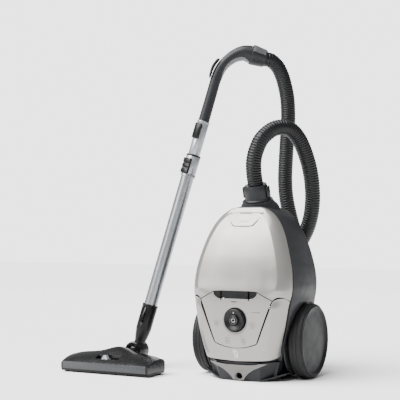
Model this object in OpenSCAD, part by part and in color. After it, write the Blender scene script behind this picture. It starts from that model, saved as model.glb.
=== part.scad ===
// Canister vacuum cleaner parked upright, with hose, telescopic wand and floor nozzle.
// Millimetres. +Z is up, the control panel faces -Y, +X is the right-hand wheel.
// The origin lies on the standing surface, straight below the wheel axle.

/* [Canister] */
// Height of the casing's top above the floor
body_h = 416; // [410:1:424]
// Widest part of the casing
body_w = 260; // [252:1:264]
// Wall of the moulded shells
wall = 3; // [2.4:0.2:3.4]
// Gap between neighbouring shells
gap = 1.2; // [0.8:0.1:1.6]
// Forward tilt of the hose inlet
inlet_tilt = 18; // [15:1:20]

/* [Wheels] */
// Radius of the large wheels
wheel_r = 90; // [88:1:91]
// Distance between the outer faces of the large wheels
wheel_span = 294; // [290:1:300]
// Width of one large wheel
wheel_w = 36; // [33:1:38]
// Axle radius
axle_r = 5; // [4:0.5:6]

/* [Controls] */
// Radius of the power dial
knob_r = 27; // [25:0.5:28]
// Height of the dial's centre
knob_z = 146; // [143:1:148]

/* [Hose] */
// Outside diameter of the ribbed hose
hose_d = 39; // [37:0.5:40]

/* [Wand] */
// Outside diameter of the lower tube
tube_d = 34; // [32:0.5:35]
// Lean of the wand from the vertical
wand_lean = 16.2; // [15.5:0.1:17]
// Direction in which the wand leans, measured from +X
wand_heading = 34; // [32:1:36]

/* [Floor nozzle] */
// Width of the nozzle
head_w = 256; // [248:2:262]
// Depth of the nozzle
head_d = 84; // [80:1:88]

/* [Hidden] */
$fn = 64;
run_gap = 0.06;     // radial clearance of a turning fit
clear = 0.4;        // space between pieces that slide or swing
dark = [0.13, 0.14, 0.15];
black = [0.05, 0.05, 0.06];
silver = [0.76, 0.75, 0.73];
grey = [0.42, 0.43, 0.44];
steel = [0.70, 0.71, 0.72];
rubber = [0.08, 0.08, 0.08];
white = [0.90, 0.90, 0.88];

// ---------- curves and surfaces ----------

// Catmull-Rom value between rows i and i+1 of a table
function cr(a, b, c, d, u) =
    0.5 * (2 * b + (c - a) * u + (2 * a - 5 * b + 4 * c - d) * u * u
    + (3 * b - a - 3 * c + d) * u * u * u);
function row_of(t, v, i = 0) = (i >= len(t) - 2 || v <= t[i + 1][0]) ? i : row_of(t, v, i + 1);
// Straight-line slope of a table around row i, for a smooth curve through uneven rows
function slope(t, i) =
    let (a = max(i - 1, 0), b = min(i + 1, len(t) - 1)) (t[b][1] - t[a][1]) / (t[b][0] - t[a][0]);
function smooth_at(t, v) =
    let (i = row_of(t, v), h = t[i + 1][0] - t[i][0], u = (v - t[i][0]) / h,
        u2 = u * u, u3 = u2 * u)
    (2 * u3 - 3 * u2 + 1) * t[i][1] + (u3 - 2 * u2 + u) * h * slope(t, i)
    + (3 * u2 - 2 * u3) * t[i + 1][1] + (u3 - u2) * h * slope(t, i + 1);
function spline_point(p, i, u) =
    let (n = len(p) - 1, a = p[max(i - 1, 0)], b = p[i], c = p[min(i + 1, n)], d = p[min(i + 2, n)])
    cr(a, b, c, d, u);
function spline(p, steps) =
    concat([for (i = [0 : len(p) - 2], k = [0 : steps - 1]) spline_point(p, i, k / steps)],
        [p[len(p) - 1]]);
function unit(v) = v / norm(v);
function reversed(p) = [for (i = [len(p) - 1 : -1 : 0]) p[i]];
function mirrored(p) = [for (q = reversed(p)) [-q[0], q[1]]];

// Closed shell between two grids of points with the same rows and columns
module grid_shell(outer, inner) {
    rows = len(outer);
    cols = len(outer[0]);
    n = rows * cols;
    points = concat([for (r = outer, p = r) p], [for (r = inner, p = r) p]);
    function at(r, c, side) = side * n + r * cols + c;
    function quad(a, b, c, d) = [[a, b, c], [a, c, d]];
    faces = concat(
        [for (r = [0 : rows - 2], c = [0 : cols - 2],
            f = quad(at(r, c, 0), at(r + 1, c, 0), at(r + 1, c + 1, 0), at(r, c + 1, 0))) f],
        [for (r = [0 : rows - 2], c = [0 : cols - 2],
            f = quad(at(r, c, 1), at(r, c + 1, 1), at(r + 1, c + 1, 1), at(r + 1, c, 1))) f],
        [for (r = [0 : rows - 2],
            f = quad(at(r, 0, 0), at(r, 0, 1), at(r + 1, 0, 1), at(r + 1, 0, 0))) f],
        [for (r = [0 : rows - 2],
            f = quad(at(r, cols - 1, 0), at(r + 1, cols - 1, 0), at(r + 1, cols - 1, 1),
                at(r, cols - 1, 1))) f],
        [for (c = [0 : cols - 2],
            f = quad(at(0, c, 0), at(0, c + 1, 0), at(0, c + 1, 1), at(0, c, 1))) f],
        [for (c = [0 : cols - 2],
            f = quad(at(rows - 1, c, 0), at(rows - 1, c, 1), at(rows - 1, c + 1, 1),
                at(rows - 1, c + 1, 0))) f]);
    polyhedron(points, faces, convexity = 6);
}

// Solid tube along a route of points; radii holds one radius for each point
module sweep_solid(route, radii, sides) {
    last = len(route) - 1;
    tangents = [for (i = [0 : last]) unit(route[min(i + 1, last)] - route[max(i - 1, 0)])];
    function carried(i) = i == 0
        ? unit(cross(tangents[0], abs(tangents[0][1]) < 0.9 ? [0, 1, 0] : [1, 0, 0]))
        : let (v = carried_list[i - 1]) unit(v - (v * tangents[i]) * tangents[i]);
    carried_list = [for (i = 0, v = carried(0); i <= last;
        i = i + 1, v = i <= last ? unit(v - (v * tangents[i]) * tangents[i]) : v) v];
    points = [for (i = [0 : last], k = [0 : sides - 1])
        let (u = carried_list[i], w = cross(tangents[i], u), a = 360 * k / sides)
        route[i] + radii[i] * (cos(a) * u + sin(a) * w)];
    faces = concat(
        [[for (k = [0 : sides - 1]) k]],
        [for (i = [0 : last - 1], k = [0 : sides - 1])
            [i * sides + k, (i + 1) * sides + k, (i + 1) * sides + (k + 1) % sides]],
        [for (i = [0 : last - 1], k = [0 : sides - 1])
            [i * sides + k, (i + 1) * sides + (k + 1) % sides, i * sides + (k + 1) % sides]],
        [[for (k = [sides - 1 : -1 : 0]) last * sides + k]]);
    polyhedron(points, faces, convexity = 4);
}

// ---------- body shape ----------

half_w_max = body_w / 2;
kw = half_w_max / 130;
kh = body_h / 416;
y_side = -60;       // where the front starts to curve round from the sides
y_seam = 45;        // seam between the casing and the underside shell
y_back = 76;        // outside of the underside shell

// Half width of the body at height z, and how far its front stands out
width_table = [for (r = [[0, 80], [45, 93], [88, 106], [131, 116.5], [174, 124.5], [208, 129.5],
    [236, 130], [269, 125.5], [315, 112.5], [357, 95], [389, 74], [406, 53], [413, 36], [416, 20]])
    [r[0] * kh, r[1] * kw]];
front_table = [[-5, -121], [45, -136], [92, -142], [150, -145], [205, -145], [240, -138.5],
    [300, -125], [366, -102], [397, -82], [420, -64]];
// Where the silver front ends and the dark side begins
edge_table = [[-5, -90], [55, -96], [88, -105], [131, -108], [174, -108.5], [190, -106],
    [208, -101], [236, -98], [269, -93], [315, -85], [357, -73], [389, -65], [420, -62]];

function half_w(z) = smooth_at(width_table, z);
function front_y(z) = smooth_at(front_table, z);
function edge_y(z) = smooth_at(edge_table, z);

// The front is a fourth-power oval in plan. p runs from 0 at the middle; p * p is its angle
function front_point(p, z, inset) =
    [sign(p) * (half_w(z) - inset) * sqrt(sin(p * p)),
        y_side - (y_side - front_y(z) - inset) * sqrt(cos(p * p)), z];
function p_at(x, z) = let (q = min(abs(x) / half_w(z), 1)) sign(x) * sqrt(asin(q * q));
function p_edge(z) = sqrt(acos(pow((y_side - edge_y(z)) / (y_side - front_y(z)), 2)));

// A line of [x, z] points as [share of the way to the silver edge, z]
edge = 999;
function on_front(line) =
    [for (q = line) [abs(q[0]) == edge ? sign(q[0]) : p_at(q[0], q[1]) / p_edge(q[1]), q[1]]];
// Shell on the front surface between two lines of [x, z] points; lift raises the middle of a row
module front_patch(line_a, line_b, steps, out = 0, t = wall, lift = []) {
    a = on_front(line_a);
    b = on_front(line_b);
    function grid(inset) = [for (i = [0 : len(a) - 1]) [for (j = [0 : steps])
        let (u = j / steps, q = a[i] + (b[i] - a[i]) * u,
            z = q[1] + (len(lift) > i ? lift[i] : 0) * 4 * u * (1 - u))
        front_point(q[0] * p_edge(z), z, inset)]];
    grid_shell(grid(-out), grid(t - out));
}

// Outline of the body seen from the front, right side upwards and over to the left
outline_points = [for (r = [[80, 0], [93, 45], [106, 88], [116.5, 131], [124.5, 174], [129.5, 208],
    [130, 236], [125.5, 269], [112.5, 315], [95, 357], [74, 389], [50, 408], [24, 415]])
    [r[0] * kw, r[1] * kh]];
outline = spline(concat(outline_points, [[0, body_h]], mirrored(outline_points)), 3);
function inset_path(path, d) =
    let (n = len(path) - 1)
    [for (i = [0 : n])
        let (t = unit(path[min(i + 1, n)] - path[max(i - 1, 0)])) path[i] + d * [-t[1], t[0]]];

// Extrusion of a front-view (x, z) outline from y0 back to y1
module along_y(y0, y1) {
    translate([0, y1, 0]) rotate([90, 0, 0]) linear_extrude(y1 - y0) children();
}
// Extrusion of a side-view (y, z) outline from x0 to x1
module along_x(x0, x1) {
    translate([x0, 0, 0]) rotate([90, 0, 90]) linear_extrude(x1 - x0) children();
}
module rod_x(x0, x1, r, y = 0, z = 0) {
    translate([x0, y, z]) rotate([0, 90, 0]) cylinder(h = x1 - x0, r = r);
}
module rod_y(y0, y1, r, x = 0, z = 0) {
    translate([x, y1, z]) rotate([90, 0, 0]) cylinder(h = y1 - y0, r = r);
}
module box(lo, hi) {
    translate(lo) cube(hi - lo);
}
module both_sides() {
    children();
    mirror([1, 0, 0]) children();
}
module rounded_box(lo, hi, r) {
    hull() for (x = [lo[0] + r, hi[0] - r], y = [lo[1] + r, hi[1] - r], z = [lo[2] + r, hi[2] - r])
        translate([x, y, z]) sphere(r = r, $fn = 24);
}

// ---------- casing ----------

wheel_x = wheel_span / 2;
well_x = wheel_x - wheel_w - 6;     // outer face of the wheel-well wall
axle_z = wheel_r;
arch_r = wheel_r + 5;
base_top = 88;                      // seam between the casing and the base
casing_base = base_top + gap;

// Rim that closes the casing's side around each wheel
module arch_rims() {
    intersection() {
        both_sides() rod_x(well_x - wall, wheel_x, arch_r + 2.4, 0, axle_z);
        along_y(-112, y_seam) polygon(outline);
    }
}
module arches() {
    both_sides() rod_x(well_x - wall, wheel_x, arch_r, 0, axle_z);
}
// Everything in front of the silver front's edge, with room for the pedal to press in
module front_cut() {
    zs = [-10, 20, front_shelf, front_shelf + 1, 55, 88, 131, 174, 190, 208, 236, 269, 315, 357, 389, 430];
    function play(z) = z <= front_shelf ? 0 : z < hinge_z ? 1.5 + (hinge_z - z) * 0.045 : 1.5;
    along_x(-200, 200) polygon(concat([[-220, 430], [-220, -10]],
        [for (z = zs) [edge_y(z) + play(z), z]]));
}
inlet_at = [0, -10, body_h - 4];
module at_inlet() {
    translate(inlet_at) rotate([inlet_tilt, 0, 0]) children();
}

module upper_casing() {
    color(dark)
    difference() {
        union() {
            along_y(-112, y_seam) polygon(concat(outline, reversed(inset_path(outline, wall))));
            arch_rims();
        }
        front_cut();
        arches();
        box([-200, -200, -10], [200, 200, casing_base]);
        at_inlet() translate([0, 0, -30]) cylinder(h = 60, r = 27);
    }
}

front_shelf = 46;   // top of the base's own front, under the pedal
front_in = 4.2;     // how far the base's front lies behind the bumper's outside
corner_t = 14;      // depth of the corners behind the silver edge
pedal_room = 10;    // space behind the outside of the pedal
base_profile = [[-106, 16], [-76, 6], [-52, 0], [52, 0], [76, 6], [106, 16]];
module base_ring(d, y0, y1) {
    intersection() {
        along_y(y0, y1) polygon(concat(outline, reversed(inset_path(outline, d))));
        box([-200, y0, 4], [200, y1, base_top]);
    }
}
// Floor plan of the base, rounded at the front
module base_plan(inset) {
    polygon(concat([[-110, y_seam], [-110, -84]],
        [for (x = [-66 : 11 : 66]) let (q = front_point(p_at(x, 5), 5, inset)) [q[0], q[1]]],
        [[110, -84], [110, y_seam]]));
}
module base_casing() {
    color(dark) {
        difference() {
            union() {
                base_ring(wall, -112, y_seam);
                base_ring(corner_t, -112, -84);
                // wheel-well walls
                both_sides() intersection() {
                    rod_x(well_x - wall, well_x, arch_r - clear, 0, axle_z);
                    box([-200, -112, 10], [200, y_seam, 200]);
                }
                // cradles under the motor, the fan and the reel
                difference() {
                    for (x = [-70, -12]) box([x, -78, 2], [x + 4, 20, 74]);
                    rod_x(-84, -26, 44.2, motor_y, motor_z);
                    rod_x(-26, 10, 56.2, motor_y, motor_z);
                }
                // axle bosses
                both_sides() rod_x(well_x - 16, well_x, axle_r + 7, 0, axle_z);
            }
            front_cut();
            // wheel arches in front of the wells
            both_sides() rod_x(well_x, wheel_x, arch_r, 0, axle_z);
            both_sides() rod_x(well_x - 17, well_x + 1, axle_r, 0, axle_z);
        }
        difference() {
            union() {
                // curved floor
                intersection() {
                    along_y(-130, y_seam) polygon(concat(base_profile,
                        [[106, 20], [76, 10], [52, 4], [-52, 4], [-76, 10], [-106, 20]]));
                    translate([0, 0, -1]) linear_extrude(30) base_plan(5);
                }
                // front behind the bumper, its shelf, and the wall behind the pedal
                front_patch([for (x = [-edge, -60, -40, -20, 0, 20, 40, 60, edge]) [x, front_shelf]],
                    [[-edge, 9], [-54, 2.5], [-36, 0.4], [-18, 0.4], [0, 0.4], [18, 0.4], [36, 0.4],
                    [54, 2.5], [edge, 9]], 3, out = -front_in);
                front_patch([for (x = [-edge, -60, -40, -20, 0, 20, 40, 60, edge]) [x, front_shelf]],
                    [for (x = [-edge, -60, -40, -20, 0, 20, 40, 60, edge]) [x, front_shelf - 3]], 1,
                    out = -front_in, t = pedal_room);
                front_patch([for (x = [-edge, -66, -44, -22, 0, 22, 44, 66, edge]) [x, base_top + 9]],
                    [for (x = [-edge, -60, -40, -20, 0, 20, 40, 60, edge]) [x, front_shelf - 3]], 4,
                    out = -pedal_room);
            }
            // hole for the mains lead
            at_outlet() cylinder(h = 60, r = outlet_r + 0.2, center = true);
        }
    }
}

// The underside is a dished lid: rings of the outline drawn in towards the back
underside_points = [for (r = [[60, 16], [97, 22], [97, 100], [97, 165], [122, 190], [127, 212],
    [127.5, 236], [123, 269], [110, 315], [92.5, 357], [72, 387], [48, 404], [23, 411]])
    [r[0] * kw, r[1] * kh]];
underside_outline = spline(concat(underside_points, [[0, 412 * kh]], mirrored(underside_points)), 2);
underside_mid = [0, 215 * kh];
back_step = 0.8;    // how far the back plate stands proud
module underside_shell() {
    function ring(k, y) = [for (p = underside_outline)
        let (q = underside_mid + (p - underside_mid) * k) [q[0], y, q[1]]];
    function skin(d) = [
        ring(1 - d / 130, y_seam + gap), ring(0.985 - d / 130, 58 - d * 0.3),
        ring(0.95 - d / 130, 68 - d * 0.7), ring(0.88 - d / 130, 73.5 - d),
        ring(0.72, y_back - back_step - d)];
    color(grey)
    difference() {
        union() {
            shell_ring(skin(0), skin(wall));
            // flat back plate
            along_y(y_back - wall, y_back)
                polygon([for (p = underside_outline) underside_mid + (p - underside_mid) * 0.76]);
        }
        // exhaust window
        box([-54, y_back - 12, 112], [54, y_back + 5, 168]);
        // castor pocket and screw holes
        rod_y(60, y_back + 5, pocket_r, 0, castor_z);
        for (q = screw_at) rod_y(60, y_back + 5, screw_r + 0.2, q[0], q[1]);
    }
}
// Shell between two stacks of rings, open in the middle
module shell_ring(outer, inner) {
    n = len(outer[0]);
    rows = len(outer);
    points = concat([for (r = outer, p = r) p], [for (r = inner, p = r) p]);
    function at(r, k, side) = side * n * rows + r * n + k % n;
    faces = concat(
        [for (r = [0 : rows - 2], k = [0 : n - 1]) [at(r, k, 0), at(r + 1, k + 1, 0), at(r + 1, k, 0)]],
        [for (r = [0 : rows - 2], k = [0 : n - 1]) [at(r, k, 0), at(r, k + 1, 0), at(r + 1, k + 1, 0)]],
        [for (r = [0 : rows - 2], k = [0 : n - 1]) [at(r, k, 1), at(r + 1, k, 1), at(r + 1, k + 1, 1)]],
        [for (r = [0 : rows - 2], k = [0 : n - 1]) [at(r, k, 1), at(r + 1, k + 1, 1), at(r, k + 1, 1)]],
        [for (k = [0 : n - 1]) [at(0, k, 0), at(0, k + 1, 1), at(0, k + 1, 0)]],
        [for (k = [0 : n - 1]) [at(0, k, 0), at(0, k, 1), at(0, k + 1, 1)]],
        [for (k = [0 : n - 1]) [at(rows - 1, k, 0), at(rows - 1, k + 1, 0), at(rows - 1, k + 1, 1)]],
        [for (k = [0 : n - 1]) [at(rows - 1, k, 0), at(rows - 1, k + 1, 1), at(rows - 1, k, 1)]]);
    polyhedron(points, faces, convexity = 6);
}

// ---------- silver front ----------

hinge_y = -138;
hinge_z = 195;
hinge_r = 2;
lid_low_half = [[0, 214.8], [20, 214.8], [40, 214.6], [57, 213], [66, 208.6], [80, 201.6],
    [93.5, 194.7], [100, 199], [108, 201.8], [118, 199.5], [edge, 192]];
lid_low = concat(mirrored(lid_low_half), [for (i = [1 : len(lid_low_half) - 1]) lid_low_half[i]]);
lid_top_z = body_h - 4;
module dust_lid() {
    lid_top = [for (q = lid_low) [q[0] * half_w(lid_top_z) / half_w(200), lid_top_z]];
    n = len(lid_low) - 1;
    top = [for (i = [0 : n]) i == 0 ? [-edge, lid_top_z] : i == n ? [edge, lid_top_z] : lid_top[i]];
    color(silver) front_patch(top, lid_low, 14);
}
arm_x = [34, 38.8];
module lid_arms() {
    color(black)
    both_sides() difference() {
        union() {
            rod_x(arm_x[0], arm_x[1], 3, hinge_y, hinge_z);
            along_x(arm_x[0], arm_x[1]) polygon([[hinge_y - 2.6, hinge_z], [hinge_y + 3, hinge_z],
                [hinge_y + 4, 230], [hinge_y + 1.1, 230], [hinge_y - 1.4, 216]]);
        }
        rod_x(arm_x[0] - 1, arm_x[1] + 1, hinge_r + run_gap, hinge_y, hinge_z);
    }
}
module hinge_pin() {
    color(steel) rod_x(-46, 46, hinge_r, hinge_y, hinge_z);
}
latch_z = [367.5, 397];
module lid_latch() {
    color(silver) {
        front_patch(
            [for (x = [-41, -27, -14, 0, 14, 27, 41]) [x, latch_z[1] - abs(x) * 0.03]],
            [for (x = [-24, -16, -8, 0, 8, 16, 24]) [x, latch_z[0] + abs(x) * 0.02]],
            4, out = 2.8, t = 2.2);
        // pivot along its lower edge
        rod_x(-18, 18, 1.2, -103.3, latch_z[0]);
    }
}
module grip_insert() {
    color(black)
    difference() {
        front_patch([for (x = [-55, -40, -20, 0, 20, 40, 55]) [x, 212.8 - abs(x) * 0.01]],
            [for (x = [-40, -28, -14, 0, 14, 28, 40]) [x, 197.6]], 3, out = 0, t = 2);
        both_sides() box([arm_x[0] - clear, -160, 195], [arm_x[1] + clear, -120, 216]);
    }
}
panel_half = [[0, 196.4], [20, 196.4], [43, 196.4], [55.5, 205], [57.5, 210.6], [66, 206.4], [79, 199],
    [92.5, 191.9]];
panel_top = concat(mirrored(panel_half), [for (i = [1 : len(panel_half) - 1]) panel_half[i]]);
panel_bottom = [for (q = panel_top) [q[0] * 0.58, 80.5 + pow(abs(q[0]) / 92.5, 2) * 11.5]];
cup_r = knob_r + 2.6;
module control_panel() {
    color(silver)
    difference() {
        union() {
            front_patch(panel_top, panel_bottom, 8);
            // dial cup
            rod_y(-146, -134, cup_r + 2, 0, knob_z);
            // brackets for the lid's hinge and for the pedal's pivots
            both_sides() box([42, -142.5, 189], [46, -134, 198]);
            both_sides() box([85, -138.5, 181], [88, -127, 191]);
        }
        both_sides() rod_x(80, 90, pivot_r + run_gap, pedal_at[0], pedal_at[1]);
        both_sides() box([arm_x[0] - clear, -160, 191.5], [arm_x[1] + clear, -120, 216]);
        rod_y(-160, -136, cup_r, 0, knob_z);
        rod_y(-140, -120, 4 + run_gap, 0, knob_z);
        rod_x(-70, 70, hinge_r, hinge_y, hinge_z);
    }
}
module power_dial() {
    color(black)
    difference() {
        union() {
            rod_y(-149, -138, knob_r, 0, knob_z);
            translate([0, -149, knob_z]) rotate([90, 0, 0]) cylinder(h = 4, r1 = knob_r, r2 = knob_r - 3);
            rod_y(-139, -127, 4, 0, knob_z);
        }
        rod_y(-160, -146, 12.5, 0, knob_z);
    }
}
module power_button() {
    color(dark) rod_y(-154, -148.4, 12.1, 0, knob_z);
}
module circuit_board() {
    color([0.10, 0.30, 0.18])
    difference() {
        union() {
            box([-46, -124, 100], [46, -122, 176]);
            box([-40, -131.5, 108], [-28, -124, 120]);
            box([26, -130, 108], [40, -124, 116]);
            rod_y(-126.5, -124, 9, 0, knob_z);
        }
        rod_y(-130, -120, 4.5, 0, knob_z);
    }
}
pedal_at = [-131.5, 186];   // y and z of the pedal's pivots
pivot_r = 2;
// The silver surround is one pedal: it hinges at the top of its arms and winds the lead in
module rewind_pedal() {
    inner_half = [[0, 79.2], [14, 79.6], [26, 81.2], [38, 84], [48, 87.2], [56, 92], [63, 108],
        [71, 129], [79.5, 152], [88, 175], [94.6, 192]];
    outer_half = [[0, 48.6], [26, 49.6], [50, 50.6], [72, 52], [86, 54.4], [edge, 62], [edge, 84],
        [edge, 108], [edge, 136], [edge, 165], [edge, 190]];
    n = len(inner_half) - 1;
    inner = concat(mirrored(inner_half), [for (i = [1 : n]) inner_half[i]]);
    outer = concat(mirrored(outer_half), [for (i = [1 : n]) outer_half[i]]);
    color(silver) {
        front_patch(inner, outer, 7,
            lift = [for (i = [0 : 2 * n]) (i == 0 || i == 2 * n) ? 8 : (i == 1 || i == 2 * n - 1) ? 2 : 0]);
        both_sides() {
            rod_x(93, 99, 4, pedal_at[0], pedal_at[1]);
            rod_x(84, 94, pivot_r, pedal_at[0], pedal_at[1]);
        }
    }
}
module rear_bumper() {
    color(grey)
    difference() {
        front_patch([for (x = [-76, -57, -38, -19, 0, 19, 38, 57, 76]) [x, 42.6 + abs(x) * 0.03]],
            [for (x = [-15, -11, -7.5, -4, 0, 4, 7.5, 11, 15]) [x, 1 + abs(x) * 0.1]], 6);
        at_outlet() cylinder(h = 40, r = outlet_r + 1.8, center = true);
    }
}
outlet_r = 10.8;    // outside of the lead outlet's sleeve
module at_outlet() {
    translate([3, -121, 13.8]) rotate([105, 0, 0]) children();
}
module cord_outlet() {
    color(rubber) at_outlet() difference() {
        union() {
            translate([0, 0, -8]) cylinder(h = 11, r = outlet_r);
            translate([0, 0, 2.9]) cylinder(h = 3.6, r = outlet_r + 1.6);
        }
        translate([0, 0, -9]) cylinder(h = 20, r = 7.5);
    }
}

// ---------- inlet and dust compartment ----------

inlet_bore = 23;
bell_r = 46;
module inlet_collar() {
    color(black) difference() {
        union() {
            // bell that sits down onto the casing's top
            difference() {
                at_inlet() rotate_extrude() polygon(concat([[inlet_bore, -26], [bell_r, -26]],
                    [for (a = [0 : 15 : 90]) [bell_r - 8.5 * sin(a), 4 + 14 * (1 - cos(a))]],
                    [[bell_r - 8.5, 21], [inlet_bore, 21]]));
                along_y(-90, 90) polygon(inset_path(outline, -0.1));
            }
            at_inlet() translate([0, 0, -54]) cylinder(h = 74, r = 26);
        }
        at_inlet() translate([0, 0, -55]) cylinder(h = 90, r = inlet_bore);
    }
}
bay_top = 386;
bay_floor = 200;
bay_front = -56;
module bay_shape(d) {
    polygon([for (q = [[-108, bay_floor], [-113, 236], [-109, 269], [-97, 315], [-80, 352], [-56, bay_top],
        [56, bay_top], [80, 352], [97, 315], [109, 269], [113, 236], [108, bay_floor]])
        let (c = [0, 290], v = q - c) c + v * (1 - d / norm(v))]);
}
module dust_bay() {
    color(grey) difference() {
        union() {
            difference() {
                along_y(bay_front, 40) bay_shape(0);
                along_y(bay_front - 1, 37) bay_shape(4);
            }
            rod_y(39, 60, 12, 0, castor_z);
        }
        rod_y(42, 61, 7, 0, castor_z);
        // inlet mouth
        at_inlet() translate([0, 0, -80]) cylinder(h = 80, r = 27);
        // air way to the motor
        box([-40, -40, bay_floor - 5], [40, 20, bay_floor + 8]);
    }
}
module lid_seal() {
    color(rubber) along_y(bay_front - 5, bay_front - clear) difference() {
        bay_shape(-1);
        bay_shape(5);
    }
}
bag_mouth = 350;
module bag_plate() {
    color(white) difference() {
        box([-46, -46, bag_mouth - 2], [46, 26, bag_mouth]);
        at_inlet() translate([0, 0, -80]) cylinder(h = 80, r = 26.4);
    }
}
module dust_bag() {
    color(white) rounded_box([-74, -50, 212], [74, 30, bag_mouth - 2.6], 18);
}
module motor_filter() {
    color([0.25, 0.30, 0.40]) box([-39, -39, bay_floor - 4], [39, 19, bay_floor + 3.6]);
}

// ---------- motor and reel ----------

motor_y = -26;
motor_z = 100;
module motor_can() {
    color(steel) difference() {
        union() {
            rod_x(-84, -26, 44, motor_y, motor_z);
            rod_x(-88.6, -84, 16, motor_y, motor_z);
        }
        rod_x(-80, -25, 41, motor_y, motor_z);
        rod_x(-91, -70, 4 + run_gap, motor_y, motor_z);
    }
}
module fan_housing() {
    color(grey) difference() {
        rod_x(-25.8, 8, 56, motor_y, motor_z);
        rod_x(-22.8, 5, 53, motor_y, motor_z);
        rod_x(4, 9, 18, motor_y, motor_z);
        rod_x(-27, -20, 4 + run_gap, motor_y, motor_z);
    }
}
module impeller() {
    color(steel) {
        rod_x(-86, 2, 4, motor_y, motor_z);
        rod_x(-20, -18, 48, motor_y, motor_z);
        rod_x(-3, -1, 48, motor_y, motor_z);
        for (k = [0 : 7]) translate([0, motor_y, motor_z]) rotate([45 * k, 0, 0])
            box([-18.5, -1, 3], [-2.5, 1, 46]);
        rod_x(-70, -30, 30, motor_y, motor_z);
    }
}
module motor_mounts() {
    color(rubber) {
        difference() {
            rod_x(-88.6, -84.1, 34, motor_y, motor_z);
            rod_x(-95, -80, 16.1, motor_y, motor_z);
        }
        difference() {
            rod_x(8.2, 13, 40, motor_y, motor_z);
            rod_x(7, 14, 19, motor_y, motor_z);
        }
    }
}
reel_z = 98;
reel_y = -30;
module reel_drum() {
    color(grey) difference() {
        union() {
            rod_x(26, 28.5, 68, reel_y, reel_z);
            rod_x(72, 74.5, 68, reel_y, reel_z);
            rod_x(26, 74.5, 26, reel_y, reel_z);
        }
        rod_x(20, 80, 8 + run_gap, reel_y, reel_z);
    }
}
module wound_cord() {
    color(rubber) difference() {
        rod_x(29, 71.5, 58, reel_y, reel_z);
        rod_x(28, 73, 26.3, reel_y, reel_z);
    }
}
module reel_spring_case() {
    color(steel) {
        rod_x(76, 84.5, 50, reel_y, reel_z);
        rod_x(16, 77, 8, reel_y, reel_z);
        rod_x(84, well_x - wall - 0.2, 12, reel_y, reel_z);
    }
}
module exhaust_grille() {
    color(black) difference() {
        box([-53.6, y_back - 3.4, 112.4], [53.6, y_back - 0.6, 167.6]);
        for (k = [0 : 8]) box([-48, y_back - 5, 116.5 + k * 5.6], [48, y_back + 1, 119.5 + k * 5.6]);
    }
}
screw_at = [[-70, 205], [70, 205], [-60, 290], [60, 290], [-66, 82], [66, 82]];
screw_r = 1.8;
module case_screws() {
    color(steel) for (q = screw_at) difference() {
        union() {
            rod_y(y_back - wall - 10, y_back + 0.1, screw_r, q[0], q[1]);
            rod_y(y_back + 0.02, y_back + 1.6, 2 * screw_r, q[0], q[1]);
        }
        translate([q[0], y_back + 1.7, q[1]]) rotate([90, 0, 0]) cylinder(h = 1.2, r = screw_r, $fn = 6);
    }
}

// ---------- wheels ----------

module wheel_axle() {
    color(steel) both_sides() {
        rod_x(well_x - 15.5, wheel_x - 9, axle_r, 0, axle_z);
        rod_x(wheel_x - 9, wheel_x - 7.6, axle_r + 3.5, 0, axle_z);
    }
}
tyre_t = 5;
// Profiles are drawn with the axle along the first coordinate's zero
module spun_x(z = axle_z, y = 0) {
    translate([0, y, z]) rotate([0, 90, 0]) rotate_extrude() children();
}
module wheel_body() {
    x0 = wheel_x - wheel_w;
    rim = wheel_r - tyre_t;
    spun_x() polygon([[axle_r + run_gap, x0 + 2], [18, x0 + 2], [18, x0 + 14], [rim - 8, x0 + 14],
        [rim - 8, x0 + 1], [rim, x0 + 1], [rim, wheel_x - 3], [rim - 3, wheel_x], [rim - 8, wheel_x],
        [rim - 10, wheel_x - 6], [20, wheel_x - 3.5], [14, wheel_x - 3.5], [14, wheel_x - 9.6],
        [axle_r + run_gap, wheel_x - 9.6]]);
}
module tyre() {
    x0 = wheel_x - wheel_w;
    r = wheel_r;
    spun_x() polygon([[r - tyre_t + 0.01, x0 + 2], [r - 2, x0 + 2], [r, x0 + 5], [r, wheel_x - 7],
        [r - 2.5, wheel_x - 3.4], [r - tyre_t + 0.01, wheel_x - 3.4]]);
}
module wheel_right() { color(dark) wheel_body(); }
module wheel_left() { color(dark) mirror([1, 0, 0]) wheel_body(); }
module tyre_right() { color(rubber) tyre(); }
module tyre_left() { color(rubber) mirror([1, 0, 0]) tyre(); }

castor_z = 330;
castor_r = 13;
castor_y = wheel_r - castor_r;
castor_trail = 9;
pocket_r = 24;      // round pocket that the castor swivels in
module castor_yoke() {
    color(black) difference() {
        union() {
            rod_y(44, 62, 7 - run_gap, 0, castor_z);
            rod_y(60.6, 63, 16, 0, castor_z);
            both_sides() along_x(8, 10.5) polygon([[60.6, castor_z + 6], [60.6, castor_z - 15],
                [castor_y + 5, castor_z - castor_trail - 4], [castor_y + 5, castor_z - castor_trail + 4]]);
        }
        rod_x(-20, 20, 3, castor_y, castor_z - castor_trail);
    }
}
module castor_wheel() {
    color(rubber) {
        rod_x(-7, 7, castor_r, castor_y, castor_z - castor_trail);
        rod_x(-10.8, 10.8, 3 - run_gap, castor_y, castor_z - castor_trail);
    }
}

// ---------- hose ----------

hose_r = hose_d / 2;
connector_top = 60;     // along the inlet axis
hose_sides = 10;
inlet_dir = [0, -sin(inlet_tilt), cos(inlet_tilt)];
hose_start = inlet_at + (connector_top + 0.2) * inlet_dir;

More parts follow.
